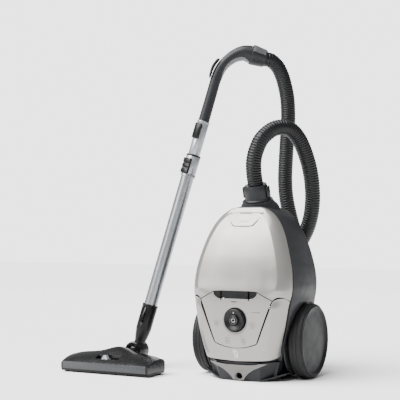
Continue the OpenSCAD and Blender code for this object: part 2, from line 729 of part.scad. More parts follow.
// Wand frame: z runs up the tube from the drum in the nozzle's neck, x is the way it leans
drum_at = [-340, -27, 44];
wand_z = [sin(wand_lean) * cos(wand_heading), sin(wand_lean) * sin(wand_heading), cos(wand_lean)];
wand_x = [cos(wand_lean) * cos(wand_heading), cos(wand_lean) * sin(wand_heading), -sin(wand_lean)];
module at_wand(s = 0) {
    translate(drum_at) rotate([0, wand_lean, wand_heading]) translate([0, 0, s]) children();
}
bow_z = 829;            // height of the handle's bow along the wand
collar_x = [71, 112];   // swivel collar at the end of the bow
hose_end = drum_at + wand_z * bow_z + wand_x * (collar_x[1] + 0.2);

hose_meet = [19, 209, 195];
meet_dir = unit([14, 9, 88]);
// The hose leaves the inlet, loops over to the back, turns under itself behind the casing
hose_front_route = [hose_start, hose_start + 4 * inlet_dir, hose_start + 30 * inlet_dir, [2, -43, 525],
    [8, -41, 553], [20, -31, 583], [41, -6, 607], [64, 26, 609], [80, 52, 586], [91, 73, 546],
    [98, 88, 500], [99, 99, 450], [94, 105, 405], [82, 109, 365], [60, 112, 325], [30, 115, 285],
    [-5, 119, 245], [-38, 126, 205], [-60, 139, 168], [-63, 157, 136], [-45, 176, 120], [-16, 191, 126],
    [8, 202, 152], hose_meet - 4 * meet_dir, hose_meet - 0.1 * meet_dir];
// ... and rises to the handle
hose_rear_route = [hose_meet, hose_meet + 4 * meet_dir, [22, 211, 240], [18, 210, 290], [8, 206, 340],
    [-4, 200, 390], [-13, 194, 440], [-16, 192, 490], [-14, 193, 550], [-11, 195, 610], [-9, 196, 660],
    [-11, 195, 705], [-17, 191, 742], [-24, 187, 768], [-33, 180.5, 789], hose_end + 16 * wand_x,
    hose_end + 3 * wand_x, hose_end];
// Smooth path whose first and last steps stay straight
function hose_path(route) =
    let (n = len(route) - 1)
    concat([route[0]], spline([for (i = [1 : n - 1]) route[i]], 2), [route[n]]);
module hose(route) {
    path = hose_path(route);
    color(black) sweep_solid(path, [for (q = path) hose_r], hose_sides);
}
module hose_front() { hose(hose_front_route); }
module hose_rear() { hose(hose_rear_route); }

tab_z = [29, 55];
tab_w = 17;
module hose_connector() {
    color(black) at_inlet() difference() {
        union() {
            translate([0, 0, -6]) cylinder(h = 28, r = inlet_bore - run_gap);
            rotate_extrude() polygon([[18, 21.4], [33, 21.4], [33.5, 24], [30.5, 27], [30, 50],
                [27, connector_top], [18, connector_top]]);
        }
        translate([0, 0, -7]) cylinder(h = 80, r = 17);
        for (side = [-1, 1]) translate([side * 33, 0, (tab_z[0] + tab_z[1]) / 2])
            cube([11.2, tab_w + 2 * clear, tab_z[1] - tab_z[0] + 2 * clear], center = true);
    }
}
module release_tab() {
    color(black) at_inlet() intersection() {
        translate([29.3, -tab_w / 2, tab_z[0]]) cube([6, tab_w, tab_z[1] - tab_z[0]]);
        cylinder(h = 80, r = 34.5);
    }
}
module release_tab_right() { release_tab(); }
module release_tab_left() { mirror([1, 0, 0]) release_tab(); }

// ---------- wand ----------

tube_r = tube_d / 2;
inner_r = 14.2;
sleeve_r = 15.6;
spigot_r = 13;
spigot_z = 584;
tube_foot = 90;             // bottom of the outer tube, inside the neck
latch_sleeve_z = [471, 530];
upper_sleeve_z = [530.4, 622];
straight_z = 738;           // where the grip starts to bow
button_side = -135;         // buttons lie in one line along the wand

// x and z along the wand, and radius
handle_bow = [[0, straight_z, 14], [3, 764, 14.3], [12, 788, 14.8], [29, 811, 16.8], [50, 826, 20],
    [70.4, bow_z, 23.5]];
function bow_route(offset) = [for (i = [0 : len(handle_bow) - 1])
    let (a = handle_bow[max(i - 1, 0)], b = handle_bow[min(i + 1, len(handle_bow) - 1)],
        t = unit([b[0] - a[0], b[1] - a[1]]), q = handle_bow[i])
    [q[0] + t[1] * offset[i], 0, q[1] - t[0] * offset[i]]];
bow_flat = [for (q = handle_bow) 0];
module bow(extra = 0) {
    path = spline(bow_route(bow_flat), 3);
    sweep_solid(path, spline([for (q = handle_bow) q[2] + extra], 3), 20);
}
module handle_shell() {
    color(dark) at_wand() {
        difference() {
            union() {
                translate([0, 0, upper_sleeve_z[1] + 0.2])
                    cylinder(h = straight_z - upper_sleeve_z[1] - 0.2, r = 14);
                translate([0, 0, spigot_z]) cylinder(h = upper_sleeve_z[1] - spigot_z + 1, r = spigot_r);
            }
            translate([0, 0, spigot_z - 1]) cylinder(h = straight_z - spigot_z - 12, r = 10.5);
        }
        difference() {
            bow();
            translate([70.5, -50, bow_z - 50]) cube(100);
        }
        // spigot that the hose collar turns on
        translate([70, 0, bow_z]) rotate([0, 90, 0]) cylinder(h = 20, r = 17.94);
    }
}
module handle_inlay() {
    color(grey) at_wand() difference() {
        sweep_solid(spline(bow_route([for (q = handle_bow) q[2] - 2]), 3), [for (i = [0 : 15]) 5], 10);
        bow(0.15);
        translate([0, 0, 600]) cylinder(h = straight_z - 600, r = 14.2);
        translate([70.5, -50, bow_z - 50]) cube(100);
    }
}
flap_pin = [-16.6, 740];    // x and z of the flap's pivot pin along the wand
module air_flap() {
    color(black) at_wand() {
        translate([0, 10.5, 0]) rotate([90, 0, 0]) linear_extrude(21)
            polygon([[-14.7, 740], [-18.2, 739.4], [-20.2, 744], [-21.8, 763], [-21, 774], [-17.4, 781],
                [-14, 789.5], [-4, 795], [-4.4, 790], [-12.4, 768], [-14.8, 750]]);
        translate([flap_pin[0], 12.5, flap_pin[1]]) rotate([90, 0, 0]) cylinder(h = 25, r = 1.8);
    }
}
module hose_end_collar() {
    len_x = collar_x[1] - collar_x[0];
    color(dark) at_wand(bow_z) translate([collar_x[0], 0, 0]) rotate([0, 90, 0]) difference() {
        rotate_extrude() polygon([[12, 21], [12, len_x], [hose_r + 1, len_x], [23, len_x - 3], [26, 12],
            [26.5, 4], [25.5, 0], [18, 0], [18, 21]]);
        translate([0, 0, -1]) cylinder(h = len_x + 2, r = 12);
    }
}
module upper_sleeve() {
    color(silver) at_wand() difference() {
        translate([0, 0, upper_sleeve_z[0]])
            cylinder(h = upper_sleeve_z[1] - upper_sleeve_z[0], r = sleeve_r);
        translate([0, 0, 500]) cylinder(h = 80, r = inner_r + 0.05);
        translate([0, 0, 570]) cylinder(h = 60, r = spigot_r + 0.05);
        rotate([0, 0, button_side]) translate([14, -6.4, sleeve_button_z[0] - clear])
            cube([5, 12.8, sleeve_button_z[1] - sleeve_button_z[0] + 2 * clear]);
    }
}
sleeve_button_z = [574, 614];
module sleeve_button() {
    len_z = sleeve_button_z[1] - sleeve_button_z[0];
    color(black) at_wand(sleeve_button_z[0]) rotate([0, 0, button_side]) {
        translate([15.7, -5, 3]) cube([2.4, 10, len_z - 6]);
        intersection() {
            difference() {
                cylinder(h = len_z, r = 20.4);
                translate([0, 0, -1]) cylinder(h = len_z + 2, r = 17.3);
            }
            translate([4, -11, 0]) cube([20, 22, len_z]);
        }
    }
}
module inner_tube() {
    color(steel) at_wand() difference() {
        translate([0, 0, 150]) cylinder(h = 420, r = inner_r);
        translate([0, 0, 149]) cylinder(h = 422, r = inner_r - 1);
    }
}
module outer_tube() {
    color(steel) at_wand() difference() {
        translate([0, 0, tube_foot]) cylinder(h = 498 - tube_foot, r = tube_r);
        translate([0, 0, tube_foot - 1]) cylinder(h = 500 - tube_foot, r = tube_r - 1.2);
    }
}
slider_z = [478, 518];
module latch_sleeve() {
    color(silver) at_wand() difference() {
        translate([0, 0, latch_sleeve_z[0]])
            cylinder(h = latch_sleeve_z[1] - latch_sleeve_z[0], r = tube_r + 1.6);
        translate([0, 0, 460]) cylinder(h = 38.1, r = tube_r + 0.05);
        translate([0, 0, 490]) cylinder(h = 50, r = inner_r + run_gap);
    }
}
module latch_slider() {
    color(black) at_wand() rotate([0, 0, button_side]) difference() {
        translate([10, -11, slider_z[0]]) cube([12.6, 22, slider_z[1] - slider_z[0]]);
        translate([0, 0, 400]) cylinder(h = 200, r = tube_r + 1.8);
        for (z = [14, 26]) translate([23.5, -12, slider_z[0] + z]) rotate([-90, 0, 0]) cylinder(h = 24, r = 3);
    }
}

// ---------- floor nozzle ----------

neck_r = 20;
neck_top = 123;
drum_r = 24;
drum_w = 36;
neck_button_z = [74, 114];
module neck_pipe() {
    y0 = drum_at[1];
    color(black) difference() {
        union() {
            at_wand() {
                translate([0, 0, 58]) cylinder(h = neck_top - 58, r = neck_r);
                translate([0, 0, 36]) cylinder(h = 22.01, r1 = 16.5, r2 = neck_r);
                translate([0, 0, 24]) cylinder(h = 12.01, r1 = 14, r2 = 16.5);
                cylinder(h = 24.01, r = 14);
            }
            rod_y(y0 - drum_w / 2, y0 + drum_w / 2, drum_r, drum_at[0], drum_at[2]);
        }
        at_wand() {
            translate([0, 0, tube_foot - 0.4]) cylinder(h = 60, r = tube_r + run_gap);
            translate([0, 0, 30]) cylinder(h = 62, r = 12);
            rotate([0, 0, button_side]) translate([18.6, -7.4, neck_button_z[0] - clear])
                cube([5, 14.8, neck_button_z[1] - neck_button_z[0] + 2 * clear]);
        }
        rod_y(y0 - 30, y0 + 30, 6 + run_gap, drum_at[0], drum_at[2]);
    }
}
module neck_button() {
    color(grey) at_wand() rotate([0, 0, button_side]) translate([20.3, -7, neck_button_z[0]])
        cube([2.6, 14, neck_button_z[1] - neck_button_z[0]]);
}

head_x = drum_at[0];
head_back = -106;
head_front = head_back - head_d;
pitch_at = [-98, 24];       // y and z of the hinge between yoke and nozzle
yoke_w = 52;
module head_frame() {
    translate([head_x, 0, 0]) children();
}
module neck_yoke() {
    y0 = drum_at[1];
    x0 = drum_at[0];
    color(dark) difference() {
        union() {
            // cheeks in front of and behind the drum, and its pin
            rod_y(y0 - drum_w / 2 - 5, y0 - drum_w / 2 - 0.4, 19, x0, drum_at[2]);
            rod_y(y0 + drum_w / 2 + 0.4, y0 + drum_w / 2 + 4, 16, x0, drum_at[2]);
            rod_y(y0 - drum_w / 2 - 7, y0 + drum_w / 2 + 4, 6, x0, drum_at[2]);
            translate([x0, 0, 0]) {
                along_x(-19, 19) polygon([[y0 + 22, 10], [y0 + 22, 36], [y0 + 18.4, 36], [y0 + 18.4, 18.6],
                    [y0 - 18.4, 18.6], [y0 - 18.4, 40], [y0 - 23, 44], [pitch_at[0] + 6, 40],
                    [pitch_at[0] - 4, 31], [pitch_at[0] - 4, 18], [-80, 10]]);
                rod_x(-yoke_w / 2, yoke_w / 2, 7, pitch_at[0], pitch_at[1]);
                rod_x(-yoke_w / 2 - 9, yoke_w / 2 + 9, 4, pitch_at[0], pitch_at[1]);
            }
        }
    }
}
module head_side(d) {
    polygon([[head_front + 2 + d, 8], [head_front + 2 + d, 28 - d], [head_front + 24, 40 - d],
        [head_front + 46, 47 - d],
        [head_front + 66, 48 - d], [head_back - 4 - d, 44 - d], [head_back - d, 34 - d], [head_back - d, 8]]);
}
module head_ends(d) {
    w = head_w / 2 - d;
    polygon([[-w, 7], [-w, 24 - d], [-w + 6, 34 - d], [-w + 20, 45 - d], [-w + 40, 49 - d], [w - 40, 49 - d],
        [w - 20, 45 - d], [w - 6, 34 - d], [w, 24 - d], [w, 7]]);
}
ear_x = yoke_w / 2 + 1;     // ears that carry the yoke
selector_x = [-34, 34];     // slot that the selector slides in
selector_y = [head_front + 16, head_front + 32];
selector_w = 20;
selector_at = -18;          // left end of the selector at rest
brush_y = [head_front + 25, head_front + 45];
brush_t = 3;
module head_cover() {
    color(dark) head_frame() difference() {
        union() {
            difference() {
                intersection() {
                    along_x(-head_w / 2, head_w / 2) head_side(0);
                    along_y(head_front, head_back) head_ends(0);
                }
                intersection() {
                    along_x(-head_w / 2, head_w / 2) head_side(2.5);
                    along_y(head_front, head_back) head_ends(2.5);
                    box([-head_w, head_front, 0], [head_w, head_back + 5, 60]);
                }
            }
            // floor of the selector's slot
            box([selector_x[0] - 2, selector_y[0] - 2, 29], [selector_x[1] + 2, selector_y[1] + 2, 35]);
            both_sides() along_x(ear_x, ear_x + 5) polygon([[head_back - 1, 12], [pitch_at[0] + 2, 15],
                [pitch_at[0] + 7, 24], [pitch_at[0] + 2, 33], [head_back - 1, 36]]);
        }
        rod_x(-yoke_w, yoke_w, 4 + run_gap, pitch_at[0], pitch_at[1]);
        // slot for the selector
        box([selector_x[0], selector_y[0], 32], [selector_x[1], selector_y[1], 60]);
    }
}
module front_strip() {
    color(grey) head_frame() box([-head_w / 2 + 6, head_front, 9], [head_w / 2 - 6, head_front + 1.8, 27]);
}
module sole_plate() {
    color(black) head_frame() {
        difference() {
            box([-head_w / 2 + 1, head_front + 3, 3.4], [head_w / 2 - 1, head_back - 1, 7.8]);
            box([-90, head_front + 30, 0], [90, head_front + 43, 10]);
            for (y = brush_y) box([-89, y - clear, 0], [89, y + brush_t + clear, 10]);
        }
        // glides at the corners
        for (x = [-head_w / 2 + 12, head_w / 2 - 12], y = [head_front + 12, head_back - 10])
            translate([x, y, 0]) cylinder(h = 3.5, r = 6);
    }
}
module floor_selector() {
    color(grey) head_frame() translate([selector_at, 0, 0]) {
        box([0, selector_y[0] + clear, 32.4], [selector_w, selector_y[1] - clear, 36]);
        along_y(selector_y[0] + 2, selector_y[1] - 2)
            polygon([[1, 35.9], [7, 45], [13, 45], [19, 35.9]]);
    }
}
module brush_strips() {
    color(rubber) head_frame() for (y = brush_y) box([-88, y, 2.8], [88, y + brush_t, 13]);
}

upper_casing();
base_casing();
underside_shell();
rear_bumper();
cord_outlet();
dust_lid();
lid_arms();
hinge_pin();
lid_latch();
grip_insert();
control_panel();
power_dial();
power_button();
circuit_board();
rewind_pedal();
inlet_collar();
dust_bay();
lid_seal();
bag_plate();
dust_bag();
motor_filter();
motor_can();
fan_housing();
impeller();
motor_mounts();
reel_drum();
wound_cord();
reel_spring_case();
exhaust_grille();
case_screws();
wheel_axle();
wheel_left();
tyre_left();
wheel_right();
tyre_right();
castor_yoke();
castor_wheel();
hose_connector();
release_tab_left();
release_tab_right();
hose_front();
hose_rear();
hose_end_collar();
handle_shell();
handle_inlay();
air_flap();
upper_sleeve();
sleeve_button();
inner_tube();
outer_tube();
latch_sleeve();
latch_slider();
neck_pipe();
neck_button();
neck_yoke();
head_cover();
front_strip();
sole_plate();
floor_selector();
brush_strips();
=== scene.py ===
"""Looks of the canister vacuum cleaner: camera, hose, silver shells, wheels, wand, nozzle and materials.

Shapes are worked out in millimetres and stored in metres. +Z is up and the panel faces -Y.
"""

from math import acos, asin, atan2, copysign, cos, degrees, dist, exp, hypot, pi, radians, sin, sqrt

import bmesh
import bpy
from mathutils import Matrix, Vector


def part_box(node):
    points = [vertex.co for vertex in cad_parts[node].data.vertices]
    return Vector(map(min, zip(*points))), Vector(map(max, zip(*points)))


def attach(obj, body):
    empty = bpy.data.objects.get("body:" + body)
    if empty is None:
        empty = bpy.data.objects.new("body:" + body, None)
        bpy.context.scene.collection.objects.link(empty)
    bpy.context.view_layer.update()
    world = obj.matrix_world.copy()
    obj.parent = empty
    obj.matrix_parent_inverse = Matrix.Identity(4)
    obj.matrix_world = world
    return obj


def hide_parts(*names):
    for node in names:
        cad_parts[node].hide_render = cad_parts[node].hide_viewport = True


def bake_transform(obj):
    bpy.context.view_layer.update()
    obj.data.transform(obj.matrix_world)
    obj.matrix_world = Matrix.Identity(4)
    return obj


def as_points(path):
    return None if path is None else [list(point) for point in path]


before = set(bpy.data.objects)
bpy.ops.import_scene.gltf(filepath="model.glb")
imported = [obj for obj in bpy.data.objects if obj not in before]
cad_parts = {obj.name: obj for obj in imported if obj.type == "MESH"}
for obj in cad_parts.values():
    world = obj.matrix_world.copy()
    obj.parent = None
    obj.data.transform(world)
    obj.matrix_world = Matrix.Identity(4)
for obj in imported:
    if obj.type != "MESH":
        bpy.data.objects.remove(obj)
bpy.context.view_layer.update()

MM = 0.001
SIDES = ((-1, "left"), (1, "right"))


def link(name, data):
    """A new object in the scene, holding data."""
    thing = bpy.data.objects.new(name, data)
    bpy.context.scene.collection.objects.link(thing)
    return thing


# ---------- camera, lights and floor ----------

def make_camera():
    """Level camera to the right of the front, at the photograph's viewing angle."""
    data = bpy.data.cameras.new("camera")
    data.lens = 93.24
    data.sensor_width = 36
    data.shift_y = 0.0625
    camera = link("camera", data)
    camera.location = (1.0739, -2.3385, 0.370)
    camera.rotation_euler = (radians(90), 0, radians(28))
    bpy.context.scene.camera = camera


def make_light(name, place, aim, size, power):
    data = bpy.data.lights.new(name, "AREA")
    data.shape = "RECTANGLE"
    data.size, data.size_y = size
    data.energy = power
    lamp = link(name, data)
    lamp.location = place
    lamp.rotation_euler = (Vector(aim) - Vector(place)).to_track_quat("-Z", "Y").to_euler()


def make_studio():
    """Pale world, bright to the camera and dim as a light, with a broad sun and two soft lamps."""
    world = bpy.data.worlds.new("studio")
    bpy.context.scene.world = world
    world.use_nodes = True
    tree = world.node_tree
    white = (1, 1, 1, 1)
    soft = set_sockets(tree.nodes["Background"], {"Color": white, "Strength": 0.40})
    bright = new_node(tree, "Background", {"Color": white, "Strength": 3.2})
    rays = new_node(tree, "LightPath")
    mix = new_node(tree, "MixShader")
    tree.links.new(rays.outputs["Is Camera Ray"], mix.inputs[0])
    tree.links.new(soft.outputs[0], mix.inputs[1])
    tree.links.new(bright.outputs[0], mix.inputs[2])
    set_sockets(tree.nodes["World Output"], {"Surface": mix.outputs[0]})
    sky = bpy.data.lights.new("even", "SUN")
    sky.energy = 10.5
    sky.angle = radians(60)
    lamp = link("even", sky)
    lamp.rotation_euler = (radians(24), radians(-22), 0)
    make_light("key", (-1.9, -2.3, 1.7), (0, 0, 0.25), (1.1, 1.6), 30)
    make_light("rim", (-1.2, 2.4, 1.6), (0, 0, 0.4), (1.0, 1.2), 10)
    mesh = bpy.data.meshes.new("floor")
    reach = 6
    mesh.from_pydata([(-reach, -reach, 0), (reach, -reach, 0), (reach, reach, 0), (-reach, reach, 0)],
                     [], [(0, 1, 2, 3)])
    floor = link("floor", mesh)
    floor.location.z = -0.0004
    mesh.materials.append(plain_floor())


# ---------- materials ----------

def new_material(name):
    mat = bpy.data.materials.new(name)
    mat.use_nodes = True
    tree = mat.node_tree
    shader = tree.nodes["Principled BSDF"]
    return mat, tree, shader


def set_sockets(node, values):
    """Sets a node's own sockets by name, or links them where the value is another node's output."""
    for name, value in values.items():
        if isinstance(value, bpy.types.NodeSocket):
            node.id_data.links.new(value, node.inputs[name])
        else:
            node.inputs[name].default_value = value
    return node


def new_node(tree, kind, values=None):
    return set_sockets(tree.nodes.new("ShaderNode" + kind), values or {})


def noise(tree, scale, detail=3, stretch=None):
    """Noise in object space. scale is in cycles per metre."""
    source = new_node(tree, "TexCoord").outputs["Object"]
    if stretch:
        source = new_node(tree, "Mapping", {"Scale": stretch, "Vector": source}).outputs["Vector"]
    return new_node(tree, "TexNoise", {"Scale": scale, "Detail": detail, "Vector": source}).outputs["Fac"]


def cells(tree, scale, output):
    """Voronoi cells in object space. scale is in cells per metre."""
    source = new_node(tree, "TexCoord").outputs["Object"]
    return new_node(tree, "TexVoronoi", {"Scale": scale, "Vector": source}).outputs[output]


def spread(tree, source, low, high, start=0.3, stop=0.7):
    """Maps a source's values from start..stop to low..high."""
    return new_node(tree, "MapRange", {"From Min": start, "From Max": stop, "To Min": low, "To Max": high,
                                       "Value": source}).outputs["Result"]


def tint(tree, factor, dark, light):
    """Mixes two colours; dark may be the output of another node."""
    node = new_node(tree, "Mix")
    node.data_type = "RGBA"
    if not isinstance(dark, bpy.types.NodeSocket):
        dark = (*dark, 1)
    set_sockets(node, {"A": dark, "B": (*light, 1), "Factor": factor})
    return node.outputs["Result"]


def bump(tree, source, depth):
    return new_node(tree, "Bump", {"Distance": depth, "Strength": 1.0, "Height": source}).outputs["Normal"]


def moulded(name, colour, rough, grain=0.35, depth=0.00004, vary=0.10, metallic=0.0, coat=0.0,
            edge_wear_and_highlight=0.0, stretch=None):
    """Moulded plastic, paint or metal: cloudy colour, fine grain in mm, and lighter sharp edges, partly
    edge wear and partly a painted edge highlight.
    """
    mat, tree, shader = new_material(name)
    set_sockets(shader, {"Metallic": metallic, "Specular IOR Level": 0.24, "Coat Weight": coat,
                         "Coat Roughness": 0.18})
    cloud = noise(tree, 9, 4)
    dark = [c * (1 - vary) for c in colour]
    light = [min(c * (1 + vary), 1) for c in colour]
    base = tint(tree, spread(tree, cloud, 0, 1), dark, light)
    # painted edge highlight together with edge wear: the colour is lightened where the surface is sharply
    # convex
    if edge_wear_and_highlight:
        geometry = new_node(tree, "NewGeometry")
        worn_and_highlit_edges = spread(tree, geometry.outputs["Pointiness"], 0, edge_wear_and_highlight, 0.52, 0.62)
        base = tint(tree, worn_and_highlit_edges, base, [min(c * 1.7 + 0.005, 1) for c in colour])
    gloss = spread(tree, noise(tree, 45, 3, stretch), rough - 0.05, rough + 0.05)
    grains = noise(tree, 1000 / grain, 2, stretch)
    set_sockets(shader, {"Base Color": base, "Roughness": gloss, "Normal": bump(tree, grains, depth)})
    return mat


def speckled_paint(name, colour, rough, metallic):
    """Metallic paint: tiny flakes change the brightness from point to point, under a clear coat."""
    mat, tree, shader = new_material(name)
    set_sockets(shader, {"Metallic": metallic, "Coat Weight": 0.35, "Coat Roughness": 0.22})
    sparkle = new_node(tree, "SeparateColor", {"Color": cells(tree, 2600, "Color")})
    base = tint(tree, sparkle.outputs["Red"], [c * 0.93 for c in colour],
                [min(c * 1.06, 1) for c in colour])
    gloss = spread(tree, noise(tree, 30, 3), rough - 0.04, rough + 0.04)
    ripple = bump(tree, noise(tree, 420, 2), 0.00003)
    set_sockets(shader, {"Base Color": base, "Roughness": gloss, "Normal": ripple})
    return mat


def fleece(name, colour):
    """Non-woven cloth: crossed fibres and soft sheen."""
    mat, tree, shader = new_material(name)
    fibres = noise(tree, 900, 4, (1, 6, 1))
    base = tint(tree, spread(tree, fibres, 0, 1), [c * 0.86 for c in colour], colour)
    threads = bump(tree, noise(tree, 1400, 3, (5, 1, 1)), 0.0002)
    set_sockets(shader, {"Base Color": base, "Roughness": 0.92, "Sheen Weight": 0.3, "Normal": threads})
    return mat


def foam(name, colour):
    """Open foam: cells from a Voronoi pattern."""
    mat, tree, shader = new_material(name)
    pores = cells(tree, 700, "Distance")
    base = tint(tree, pores, [c * 0.5 for c in colour], [min(c * 1.5, 1) for c in colour])
    set_sockets(shader, {"Base Color": base, "Roughness": 0.95, "Normal": bump(tree, pores, 0.0006)})
    return mat


def plain_floor():
    mat, tree, shader = new_material("floor_paper")
    shade = tint(tree, noise(tree, 2, 3), (0.93, 0.93, 0.93), (0.95, 0.95, 0.95))
    set_sockets(shader, {"Base Color": shade, "Roughness": 0.85})
    return mat


MAT = {
    "silver": speckled_paint("silver_paint", (0.275, 0.266, 0.25), 0.33, 0.62),
    "tube": moulded("anodised_tube", (0.34, 0.35, 0.37), 0.30, 0.5, 0.00001, 0.05, metallic=0.85,
                    stretch=(1, 1, 0.05)),
    "sleeve": speckled_paint("sleeve_paint", (0.33, 0.34, 0.36), 0.34, 0.6),
    # painted highlight colour for the band inside the grip's bow
    "grip_highlight": moulded("grip_highlight_paint", (0.13, 0.132, 0.137), 0.36, 0.45, 0.00003, 0.07, edge_wear_and_highlight=0.25),
    "band": moulded("band_metal", (0.30, 0.31, 0.32), 0.32, 0.5, 0.00001, 0.06, metallic=0.7),
    "charcoal": moulded("charcoal_plastic", (0.013, 0.0135, 0.0155), 0.44, 0.45, 0.00003, 0.10, edge_wear_and_highlight=0.30),
    "side": moulded("side_plastic", (0.016, 0.0165, 0.019), 0.50, 0.40, 0.00004, 0.08, edge_wear_and_highlight=0.25),
    "disc": moulded("wheel_plastic", (0.006, 0.0064, 0.008), 0.50, 0.5, 0.00002, 0.10, edge_wear_and_highlight=0.25),
    "black": moulded("black_plastic", (0.0045, 0.0045, 0.005), 0.34, 0.5, 0.00002, 0.15, edge_wear_and_highlight=0.3),
    "gloss": moulded("gloss_black", (0.004, 0.004, 0.0043), 0.18, 0.8, 0.000008, 0.15, coat=0.15),
    "head": moulded("head_plastic", (0.0035, 0.0035, 0.004), 0.26, 0.5, 0.00001, 0.15, coat=0.12, edge_wear_and_highlight=0.3),
    "hose": moulded("hose_plastic", (0.005, 0.0053, 0.006), 0.36, 0.6, 0.00002, 0.18),
    "grey": moulded("grey_plastic", (0.07, 0.071, 0.074), 0.38, 0.45, 0.00003, 0.07, edge_wear_and_highlight=0.25),
    "bumper": speckled_paint("bumper_paint", (0.12, 0.117, 0.112), 0.36, 0.55),
    "strip": moulded("strip_plastic", (0.042, 0.044, 0.047), 0.32, 0.5, 0.00002, 0.06, coat=0.1),
    "rubber": moulded("black_rubber", (0.008, 0.008, 0.0083), 0.70, 0.3, 0.00008, 0.20),
    "tyre": moulded("tyre_rubber", (0.0065, 0.0065, 0.007), 0.58, 0.35, 0.00006, 0.18, edge_wear_and_highlight=0.25),
    "bay": moulded("bay_plastic", (0.20, 0.205, 0.21), 0.55, 0.45, 0.00004, 0.08),
    "steel": moulded("drawn_steel", (0.50, 0.50, 0.51), 0.28, 0.3, 0.00002, 0.08, metallic=1.0,
                     stretch=(0.1, 1, 1)),
    "board": moulded("board_varnish", (0.03, 0.14, 0.07), 0.35, 0.6, 0.00003, 0.15),
    "card": moulded("pressed_card", (0.72, 0.69, 0.60), 0.85, 0.5, 0.0001, 0.06),
    "fleece": fleece("bag_fleece", (0.84, 0.83, 0.79)),
    "foam": foam("filter_foam", (0.10, 0.14, 0.22)),
    "seam": moulded("seam_shadow", (0.006, 0.006, 0.006), 0.7, 0.5, 0.00001, 0.10),
    "mark": moulded("grey_print", (0.07, 0.07, 0.07), 0.5, 0.6, 0.00001, 0.08),
    "light_mark": moulded("light_print", (0.80, 0.80, 0.79), 0.5, 0.6, 0.00001, 0.05),
    "dark_mark": moulded("dark_print", (0.02, 0.02, 0.022), 0.5, 0.6, 0.00001, 0.08),
}


# ---------- meshes ----------

def clean_mesh(name, shape):
    """Mesh from (points in mm, faces), without doubled points and with its faces outwards."""
    points, faces = shape
    mesh = bpy.data.meshes.new(name)
    mesh.from_pydata([tuple(c * MM for c in p) for p in points], [], faces)
    bm = bmesh.new()
    bm.from_mesh(mesh)
    bmesh.ops.remove_doubles(bm, verts=bm.verts, dist=1e-6)
    bmesh.ops.recalc_face_normals(bm, faces=bm.faces)
    bm.to_mesh(mesh)
    bm.free()
    return mesh


def add_mesh(name, shape, mat, body, slot, angle=35, second=None, second_from=0):
    """A piece from (points in mm, faces), shaded smooth except across edges sharper than angle.

    Faces from number second_from on take the second material.
    """
    mesh = clean_mesh(name, shape)
    mesh.shade_smooth()
    mesh.set_sharp_from_angle(angle=radians(angle))
    mesh.materials.append(MAT[mat])
    if second:
        mesh.materials.append(MAT[second])
        for face in mesh.polygons[second_from:]:
            face.material_index = 1
    piece = link(name, mesh)
    if body:
        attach(piece, body)
    return piece


def soften(piece, width, segments=2, angle=35):
    """Rounds a piece's sharp edges."""
    bevel = piece.modifiers.new("edges", "BEVEL")
    bevel.width = width * MM
    bevel.segments = segments
    bevel.limit_method = "ANGLE"
    bevel.angle_limit = radians(angle)
    bevel.harden_normals = True
    return piece


def settle(piece):
    """Applies a piece's modifiers to its mesh."""
    depsgraph = bpy.context.evaluated_depsgraph_get()
    result = bpy.data.meshes.new_from_object(piece.evaluated_get(depsgraph))
    piece.modifiers.clear()
    piece.data = result
    return result


def carve(piece, *cutters):
    """Cuts closed shapes, given as (points in mm, faces), out of a piece."""
    for shape in cutters:
        tool = link("cutter", clean_mesh("cutter", shape))
        cut = piece.modifiers.new("cut", "BOOLEAN")
        cut.object = tool
        cut.solver = "EXACT"
        bpy.context.view_layer.update()
        settle(piece)
        bpy.data.objects.remove(tool)


def block(lo, hi):
    """Closed box between two corners."""
    points = [(x, y, z) for x in (lo[0], hi[0]) for y in (lo[1], hi[1]) for z in (lo[2], hi[2])]
    return points, [(0, 1, 3, 2), (4, 6, 7, 5), (0, 4, 5, 1), (2, 3, 7, 6), (0, 2, 6, 4), (1, 5, 7, 3)]


def loop_quads(rows, sides):
    """Quads round a stack of closed rings that have the same number of points."""
    return [(a + k, a + (k + 1) % sides, a + (k + 1) % sides + sides, a + k + sides)
            for a in range(0, (rows - 1) * sides, sides) for k in range(sides)]


def slab(outline, near, far):
    """Closed plate between two copies of a (y, z) outline, at x = near and x = far."""
    n = len(outline)
    points = [(x, y, z) for x in (near, far) for y, z in outline]
    return points, [tuple(range(n)), tuple(range(2 * n - 1, n - 1, -1))] + loop_quads(2, n)


def drum(radius, low, high, place, sides=64):
    """Closed cylinder; place maps (x, y, height) to the row frame."""
    points = [place(radius * cos(2 * pi * k / sides), radius * sin(2 * pi * k / sides), h)
              for h in (low, high) for k in range(sides)]
    return points, loop_quads(2, sides) + [tuple(reversed(range(sides))), tuple(range(sides, 2 * sides))]


def grid_quads(rows, cols, start=0, flip=False):
    faces = []
    for r in range(rows - 1):
        for c in range(cols - 1):
            a = start + r * cols + c
            quad = (a, a + cols, a + cols + 1, a + 1)
            faces.append(quad[::-1] if flip else quad)
    return faces


def shell_mesh(outer, inner):
    """Points and faces of a closed shell between two grids."""
    rows, cols = len(outer), len(outer[0])
    n = rows * cols
    points = [p for row in outer for p in row] + [p for row in inner for p in row]
    faces = grid_quads(rows, cols) + grid_quads(rows, cols, n, True)
    ring = ([(0, c) for c in range(cols)] + [(r, cols - 1) for r in range(1, rows)]
            + [(rows - 1, c) for c in range(cols - 2, -1, -1)] + [(r, 0) for r in range(rows - 2, 0, -1)])
    for k, (r, c) in enumerate(ring):
        r2, c2 = ring[(k + 1) % len(ring)]
        a, b = r * cols + c, r2 * cols + c2
        faces.append((a, b, b + n, a + n))
    return points, faces


